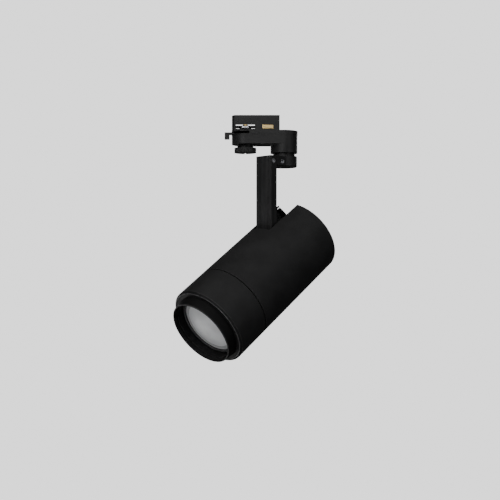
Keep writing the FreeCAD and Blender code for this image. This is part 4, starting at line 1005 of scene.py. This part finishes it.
@dataclass
class ZoomFront(Assembly):
    """The turning sleeve with its hood, and the lens in its carrier."""

    matt_black: bpy.types.Material
    steps: int = 176
    wall: float = 2.0
    front_bevel: float = 2.0
    rear_chamfer: float = 0.5
    sleeve_round: float = 0.2
    flange: float = 3.0
    margin: float = 0.1
    hood_gap: float = 0.1
    hood_taper: float = 1.0
    hood_lip: float = 1.2
    hood_step: float = 0.8
    hood_seat: float = 6.0
    hood_bevel: float = 0.6
    lens_front_radius: float = 60.0
    lens_back_radius: float = 90.0
    lens_flange: float = 2.3
    lens_edge: float = 4.4
    lens_step: float = 0.35
    lens_chamfer: float = 0.25
    lens_front_points: int = 20
    lens_back_points: int = 16
    lip_radius: float = 0.6
    lip_inset: float = 0.3
    lip_turn: float = 60.0
    lip_points: int = 7
    lip_painted_highlight: float = 3.0
    rim_painted_highlight: float = 3.0
    bore_painted_light: float = 0.25
    ring_width: float = 1.65
    notches: int = 4
    notch_width: float = 2.4
    notch_depth: float = 0.9
    notch_wall: float = 0.5

    def sleeve(self) -> bpy.types.Object:
        """The plain sleeve that is turned by hand, with a bevelled front and a thin rounded lip.

        Returns:
            The piece.
        """
        low, high = self.place.span("zoom_sleeve")
        radius, rear, front = high.y, low.x, high.x
        bore = radius - self.wall
        hood = self.place.span("front_hood_ring")[1].y + self.hood_gap
        lip = radius - self.front_bevel - self.lip_inset
        lip_rear = front - self.lip_radius
        outline = [
            (rear, bore),
            (rear, radius - self.rear_chamfer),
            (rear + self.rear_chamfer, radius),
            (front - self.front_bevel, radius),
            *arc((lip_rear, lip), self.lip_radius, self.lip_turn, -self.lip_turn, self.lip_points),
            (lip_rear, lip - self.lip_radius),
            (lip_rear, hood),
            (front - self.flange, hood),
            (front - self.flange, bore),
        ]
        body = soften(lathe(outline, self.steps), self.sleeve_round)
        edge = body.faces.layers.float["edge"]
        # The front bevel and face get painted shade through this layer, and the lip a painted highlight through
        # the edge attribute.
        dull = body.faces.layers.float.new("dull")
        for face in body.faces:
            middle = face.calc_center_median()
            out = math.hypot(middle.y, middle.z)
            if middle.x > front - self.front_bevel + self.margin:
                on_lip = abs(out - lip) < self.lip_radius and middle.x > lip_rear
                face[edge] = self.lip_painted_highlight if on_lip else 0.0
                face[dull] = 0.0 if on_lip else 1.0
        return self.piece("zoom_grip", body, "zoom", Slot.PAINT, ["zoom_sleeve"])

    def hood(self) -> bpy.types.Object:
        """The thin hood round the lens, slightly tapered, with a step inside its mouth.

        Returns:
            The piece.
        """
        low, high = self.place.span("front_hood_ring")
        root, rear, rim = high.y, low.x, high.x
        sleeve_front = self.place.span("zoom_sleeve")[1].x
        tip = root - self.hood_taper
        seat = tip - self.hood_lip
        bore = seat - self.hood_step
        outline = [
            (rear, bore),
            (rear, root),
            (sleeve_front, root),
            (rim - self.hood_bevel, tip),
            (rim, tip - self.hood_bevel),
            (rim, seat),
            (rim - self.hood_seat, seat),
            (rim - self.hood_seat, bore),
        ]
        body = soften(lathe(outline, self.steps), SMALL_ROUND, over=30.0)
        edge = body.faces.layers.float["edge"]
        # The bore gets painted light and the bevelled rim a painted highlight through the edge attribute.
        for face in body.faces:
            middle = face.calc_center_median()
            out = math.hypot(middle.y, middle.z)
            face[edge] = self.bore_painted_light if out < seat + self.margin else 0.0
            if middle.x > rim - self.hood_bevel and out > seat + self.margin:
                face[edge] = self.rim_painted_highlight
        nodes = ["front_hood_ring"]
        return self.piece("front_hood", body, "zoom", Slot.ANODISED, nodes, finish=self.matt_black)

    def lens(self) -> bpy.types.Object:
        """The lens: two curved faces on a flat flange, turned as one outline.

        Returns:
            The piece.
        """
        low, high = self.place.span("lens")
        radius = high.y
        curved = radius - self.lens_edge
        front = high.x - (self.lens_front_radius - math.sqrt(self.lens_front_radius**2 - curved**2))
        back = front - self.lens_flange
        centre_front = high.x - self.lens_front_radius
        centre_back = low.x + self.lens_back_radius
        half_front = math.degrees(math.asin(curved / self.lens_front_radius))
        half_back = math.degrees(math.asin(curved / self.lens_back_radius))
        outline = [
            *arc((centre_front, 0), self.lens_front_radius, 0, half_front, self.lens_front_points),
            (front, curved + self.lens_step),
            (front, radius - self.lens_chamfer),
            (front - self.lens_chamfer, radius),
            (back + self.lens_chamfer, radius),
            (back, radius - self.lens_chamfer),
            *arc((centre_back, 0), self.lens_back_radius, 180 - half_back, 180, self.lens_back_points),
        ]
        body = lathe(outline, ROUND_STEPS, closed=False)
        clear = body.faces.layers.float.new("clear")
        for face in body.faces:
            middle = face.calc_center_median()
            face[clear] = 1.0 if math.hypot(middle.y, middle.z) > curved else 0.0
        return self.piece("lens_finished", body, "carrier", Slot.GLASS, ["lens"], crease=25.0)

    def retaining_ring(self) -> bpy.types.Object:
        """The ring that holds the lens, with notches for a spanner.

        Returns:
            The piece.
        """
        low, high = self.place.span("lens_retaining_ring")
        radius, bore = high.y, high.y - self.ring_width
        outline = [(low.x, bore), (low.x, radius), (high.x, radius), (high.x, bore)]
        cutters = []
        for i in range(self.notches):
            turn = Matrix.Rotation(math.radians((i + 0.5) * 360 / self.notches), 4, "X")
            cutter = box_mesh(
                Vector((high.x - self.notch_depth, bore - OVERCUT, -self.notch_width / 2)),
                Vector((high.x + OVERCUT, radius - self.notch_wall, self.notch_width / 2)),
            )
            bmesh.ops.transform(cutter, matrix=turn, verts=cutter.verts)
            cutters.append(cutter)
        body = soften(carve(lathe(outline, ROUND_STEPS), cutters), SMALL_ROUND)
        return self.piece("lens_ring_finished", body, "carrier", Slot.ANODISED, ["lens_retaining_ring"])

    def build(self) -> None:
        """Builds and dresses every piece."""
        self.sleeve()
        self.hood()
        self.lens()
        self.retaining_ring()
        self.refine("lens_carrier", "carrier", Slot.PAINT)
        self.refine("guide_tube", "head", Slot.ANODISED)
        self.refine("cam_barrel", "zoom", Slot.ANODISED, FINE_ROUND)
        self.refine("guide_circlip", "head", Slot.STEEL, FINE_ROUND)


@dataclass
class LightSource(Assembly):
    """The reflector cup and the parts round the emitter, which show through the lens."""

    steps: int = 96
    cup_lip: float = 3.0
    cup_throat: float = 10.5
    cup_wall: float = 1.0
    cup_flare: float = 1.6
    cup_rings: int = 10
    dam_top: float = 0.8
    dam_foot: float = 1.0
    dam_height: float = 0.3
    dam_round: float = 0.08
    pool_radius: float = 8.0
    pool_crown: float = 0.2
    pool_rings: int = 4

    def reflector(self) -> bpy.types.Object:
        """The reflector cup, which flares towards the beam and has a turned-out lip.

        Returns:
            The piece.
        """
        low, high = self.place.span("reflector")
        rear, front, lip = low.x, high.x, high.y
        throat, wall, last = self.cup_throat, self.cup_wall, self.cup_rings
        depth, spread = front - rear, lip - self.cup_lip - throat
        curve = [
            (rear + depth * (i / last) ** self.cup_flare, throat + spread * i / last)
            for i in range(last + 1)
        ]
        back = [(x, r + wall) for x, r in reversed(curve) if x < front - wall]
        outline = [*curve, (front, lip), (front - wall, lip), *back]
        body = soften(lathe(outline, self.steps), EDGE_ROUND, over=60.0)
        return self.piece("reflector_cup", body, "head", Slot.MIRROR, ["reflector"])

    def emitter(self) -> bpy.types.Object:
        """The round pool of phosphor gel, slightly crowned, inside its raised dam.

        Returns:
            The piece.
        """
        low, high = self.place.span("led_emitter")
        base, top, radius = low.x, high.x, high.y
        gel = top - self.dam_height
        rings = [self.pool_radius * (1 - i / self.pool_rings) for i in range(self.pool_rings + 1)]
        outline = [
            (base, 0),
            (base, radius),
            (top, radius),
            (top, radius - self.dam_top),
            (gel, radius - self.dam_foot),
            *[(gel + self.pool_crown * (1 - (r / self.pool_radius) ** 2), r) for r in rings],
        ]
        body = soften(lathe(outline, self.steps, closed=False), self.dam_round, over=50.0)
        return self.piece("phosphor_pool", body, "head", Slot.PHOSPHOR, ["led_emitter"])

    def build(self) -> None:
        """Builds and dresses every piece."""
        self.reflector()
        self.emitter()
        self.refine("led_holder", "head", Slot.WHITE)
        self.refine("heat_sink", "head", Slot.ALUMINIUM, SMALL_ROUND)


@dataclass
class Hanger(Assembly):
    """The arm, the swivel's hub and their socket screws."""

    drawn_paint: bpy.types.Material
    screw_head_r: float = M3_HEAD_R
    screw_head_h: float = 3.0
    screw_shank_r: float = 1.5
    screw_round: float = 0.3
    key_flats: float = 2.5
    key_depth: float = 1.6

    def socket_screw(self, face: Vector, end: Vector) -> bmesh.types.BMesh:
        """One hex-socket screw.

        Args:
            face: the middle of its head's outer face.
            end: the end of its shank.

        Returns:
            The screw, with its socket sunk and its rims rounded.
        """
        along = (end - face).normalized()
        under = face + along * self.screw_head_h
        head = rod(self.screw_head_r, face, under)
        key = rod(self.key_flats / math.sqrt(3), face - along, face + along * self.key_depth, sides=6)
        head = soften(carve(head, [key]), self.screw_round, over=60.0, segments=3)
        return join([head, rod(self.screw_shank_r, under, end, sides=24)])

    def socket_screws(self) -> bpy.types.Object:
        """The two screws that clamp the hub and hold the arm.

        Returns:
            The piece.
        """
        low, high = self.place.span("socket_screws")
        height = (low.z + high.z) / 2
        stations = (low.x + self.screw_head_r, high.x - self.screw_head_r)
        ends = [(Vector((x, high.y, height)), Vector((x, low.y, height))) for x in stations]
        screws = [self.socket_screw(face, end) for face, end in ends]
        return self.piece("socket_screws_finished", join(screws), "swivel", Slot.STEEL, ["socket_screws"])

    def build(self) -> None:
        """Builds and dresses every piece."""
        self.socket_screws()
        arm = soften(copied("arm", self.place), SMALL_ROUND, over=50.0)
        self.piece("arm_finished", arm, "swivel", Slot.PAINT, ["arm"], finish=self.drawn_paint)
        self.refine("swivel_hub", "swivel", Slot.PAINT, SMALL_ROUND)
        self.refine("arm_cover", "swivel", Slot.PLASTIC, SMALL_ROUND)
        self.refine("hub_cap", "swivel", Slot.PAINT)


@dataclass
class TrackAdapter(Assembly):
    """The adapter, its circuit selector and its lock lever."""

    flutes: int = 30
    flute_depth: float = 0.55
    points_per_flute: int = 8
    pointer_width: float = 1.4
    pointer_depth: float = 0.8
    pointer_start: float = 1.5
    knob_round: float = 0.3
    lever_round: float = 0.25

    def knob(self) -> bpy.types.Object:
        """The selector's fluted knob, with a pointer groove underneath.

        Returns:
            The piece.
        """
        low, high = self.place.span("selector_knob")
        centre_x = (low.x + high.x) / 2
        radius = (high.x - low.x) / 2
        count = self.flutes * self.points_per_flute
        bm = bmesh.new()
        bmesh.ops.create_circle(bm, cap_ends=True, segments=count, radius=radius)
        for vert in bm.verts:
            turn = math.atan2(vert.co.y, vert.co.x)
            wave = math.cos(turn * self.flutes)
            vert.co *= (radius - self.flute_depth * max(0.0, wave) ** 2) / radius
        grown = bmesh.ops.extrude_face_region(bm, geom=bm.faces[:])
        top = [v for v in grown["geom"] if isinstance(v, bmesh.types.BMVert)]
        bmesh.ops.translate(bm, vec=(0, 0, high.z - low.z), verts=top)
        bmesh.ops.recalc_face_normals(bm, faces=bm.faces)
        bmesh.ops.translate(bm, vec=(centre_x, 0, low.z), verts=bm.verts)
        half = self.pointer_width / 2
        pointer = box_mesh(
            Vector((centre_x - half, self.pointer_start, low.z - OVERCUT)),
            Vector((centre_x + half, 2 * radius, low.z + self.pointer_depth)),
        )
        body = soften(carve(bm, [pointer]), self.knob_round, over=70.0, segments=3)
        nodes = ["selector_knob"]
        return self.piece("selector_knob_finished", body, "selector", Slot.PLASTIC, nodes, crease=50.0)

    def build(self) -> None:
        """Builds and dresses every piece."""
        self.knob()
        for node in ("adapter_housing", "adapter_cover", "pan_spacer"):
            self.refine(node, "adapter", Slot.PLASTIC)
        self.refine("adapter_screws", "adapter", Slot.STEEL, FINE_ROUND)
        self.refine("earth_contacts", "adapter", Slot.BRASS, FINE_ROUND)
        self.refine("lock_lever", "lever", Slot.PLASTIC, self.lever_round)
        self.refine("lock_cam", "lever", Slot.STEEL)
        self.refine("neutral_contact", "lever", Slot.BRASS, FINE_ROUND)
        self.refine("phase_contacts", "selector", Slot.BRASS, FINE_ROUND)


# === studio ===


@dataclass
class Softbox:
    """One soft studio light."""

    name: str
    direction: tuple[float, float, float]
    distance: float
    size: tuple[float, float]
    power: float

    def build(self, target: Vector) -> None:
        """Hangs the light so that it faces a point.

        Args:
            target: the point.
        """
        data = bpy.data.lights.new(self.name, "AREA")
        data.shape = "RECTANGLE"
        data.size, data.size_y = self.size
        data.energy = self.power
        obj = bpy.data.objects.new(self.name, data)
        way = Vector(self.direction).normalized()
        obj.location = target + way * self.distance
        obj.rotation_euler = (-way).to_track_quat("-Z", "Y").to_euler()
        bpy.context.scene.collection.objects.link(obj)


@dataclass
class Studio:
    """A plain pale sweep, soft lights and the camera."""

    floor_z: float = -0.85
    floor_radius: float = 2.4
    sweep_radius: float = 0.9
    sweep_segments: int = 12
    sweep_steps: int = 96
    sweep_colour: tuple[float, float, float, float] = (0.08, 0.08, 0.08, 1.0)
    wall_height: float = 3.0
    seen: float = 1.7
    felt: float = 0.012
    camera_at: tuple[float, float, float] = (-0.03746, -0.9529, -0.1306)
    spot_power: float = 62.0
    spot_degrees: float = 9.0
    spot_distance: float = 0.8
    spot_blend: float = 0.6
    spot_radius: float = 0.12
    focal_mm: float = 62.2
    sensor_mm: float = 36.0
    clip: tuple[float, float] = (0.01, 50.0)

    def pale(self) -> bpy.types.Material:
        """The sweep's material: bright to look at, but a weak source of light.

        Returns:
            The material.
        """
        material = bpy.data.materials.new("pale_sweep")
        material.use_nodes = True
        tree = Tree(material.node_tree)
        shader = material.node_tree.nodes["Principled BSDF"]
        path = tree.add("LightPath")
        grain = tree.add("TexNoise", Vector=tree.add("TexCoord").outputs["Object"], Scale=3.0, Detail=2.0)
        shade = tree.ramp(grain.outputs[0], 0.3, 0.7, 0.995, 1.0)
        glow = tree.ramp(path.outputs["Is Camera Ray"], 0.0, 1.0, self.felt, self.seen)
        shader.inputs["Base Color"].default_value = self.sweep_colour
        shader.inputs["Specular IOR Level"].default_value = 0.0
        shader.inputs["Roughness"].default_value = 1.0
        shader.inputs["Emission Color"].default_value = WHITE_LIGHT
        tree.put(shader.inputs["Emission Strength"], tree.maths("MULTIPLY", glow, shade))
        return material

    def sweep(self) -> None:
        """The floor, which curves up into a wall all round."""
        outline = [(0.0, 0.0), (0.0, self.floor_radius)]
        for i in range(1, self.sweep_segments + 1):
            turn = math.radians(90 * i / self.sweep_segments)
            rise = self.sweep_radius * (1 - math.cos(turn))
            outline.append((rise, self.floor_radius + self.sweep_radius * math.sin(turn)))
        outline.append((self.wall_height, self.floor_radius + self.sweep_radius))
        bm = lathe(outline, self.sweep_steps, closed=False)
        bmesh.ops.transform(bm, matrix=Matrix.Rotation(-math.pi / 2, 4, "Y"), verts=bm.verts)
        bmesh.ops.translate(bm, vec=(0, 0, self.floor_z), verts=bm.verts)
        bmesh.ops.reverse_faces(bm, faces=bm.faces)
        for face in bm.faces:
            face.smooth = True
        mesh = bpy.data.meshes.new("pale_sweep")
        bm.to_mesh(mesh)
        bm.free()
        mesh.materials.append(self.pale())
        obj = bpy.data.objects.new("pale_sweep", mesh)
        bpy.context.scene.collection.objects.link(obj)

    def world(self) -> None:
        """A sky that is bright to look at and dim as a source of light."""
        world = bpy.data.worlds.new("studio")
        world.use_nodes = True
        bpy.context.scene.world = world
        tree = Tree(world.node_tree)
        path = tree.add("LightPath")
        background = world.node_tree.nodes["Background"]
        background.inputs["Color"].default_value = WHITE_LIGHT
        strength = tree.ramp(path.outputs["Is Camera Ray"], 0.0, 1.0, self.felt, self.seen)
        tree.put(background.inputs["Strength"], strength)

    def lights(self, target: Vector) -> None:
        """The softboxes and the spot on the lens.

        Args:
            target: the point that the softboxes face.
        """
        for box in (
            Softbox("key_above_left", (-0.28, -0.76, 0.6), 1.4, (1.1, 1.1), 18.0),
            Softbox("fill_right", (0.75, -0.68, -0.15), 1.5, (0.8, 1.0), 3.6),
            Softbox("fill_upper_right", (0.66, -0.45, 0.6), 1.5, (0.5, 0.5), 1.4),
            Softbox("lens_glint", (-0.64, 0.44, -0.63), 1.1, (0.35, 0.35), 1.0),
            Softbox("back_right", (0.35, 0.9, 0.3), 1.5, (0.9, 0.9), 8.0),
            Softbox("back_left", (-0.5, 0.9, -0.12), 1.5, (0.7, 0.9), 2.5),
        ):
            box.build(target)
        self.lens_spot()

    def lens_spot(self) -> None:
        """A narrow spot along the beam's axis, which lights the frosted face."""
        place = head_place()
        face = place.matrix() @ Vector((place.span("lens")[1].x, 0, 0))
        data = bpy.data.lights.new("lens_spot", "SPOT")
        data.energy = self.spot_power
        data.spot_size = math.radians(self.spot_degrees)
        data.spot_blend = self.spot_blend
        data.shadow_soft_size = self.spot_radius
        obj = bpy.data.objects.new("lens_spot", data)
        obj.location = face + place.x * self.spot_distance
        obj.rotation_euler = (-place.x).to_track_quat("-Z", "Y").to_euler()
        bpy.context.scene.collection.objects.link(obj)

    def camera(self) -> None:
        """The camera, level and looking along +Y."""
        data = bpy.data.cameras.new("camera")
        data.lens = self.focal_mm
        data.sensor_width = self.sensor_mm
        data.clip_start, data.clip_end = self.clip
        obj = bpy.data.objects.new("camera", data)
        obj.location = self.camera_at
        obj.rotation_euler = (math.pi / 2, 0, 0)
        bpy.context.scene.collection.objects.link(obj)
        bpy.context.scene.camera = obj

    def build(self) -> None:
        """Builds the whole studio round the object."""
        low, high = CAD_BOX
        self.sweep()
        self.world()
        self.lights((low + high) / 2)
        self.camera()


def dress_nodes(finishes: dict[Slot, bpy.types.Material]) -> None:
    """Gives every CAD node the finish of its slot.

    Args:
        finishes: each slot's material.
    """
    for part in frame["record"]["subparts"]:
        obj = frame["nodes"][part["node"]]
        finish = finishes[Slot(part["material_slot"])]
        if not obj.material_slots:
            obj.data.materials.append(finish)
        for slot in obj.material_slots:
            slot.material = finish


def main() -> None:
    """Builds the finishes, then each sub-assembly, then the studio."""
    logging.basicConfig(level=logging.INFO, format="%(name)s: %(message)s")
    kit = Kit.build()
    finishes = {finish.slot: finish.build(kit) for finish in all_finishes()}
    dress_nodes(finishes)
    head, arm, row = head_place(), arm_place(), row_place()
    for assembly in (
        Casing(head, finishes),
        ZoomFront(head, finishes, hood_finish().build(kit)),
        LightSource(head, finishes),
        Hanger(arm, finishes, arm_finish().build(kit)),
        TrackAdapter(row, finishes),
    ):
        assembly.build()
    Studio().build()


if __name__ == "__main__":
    main()
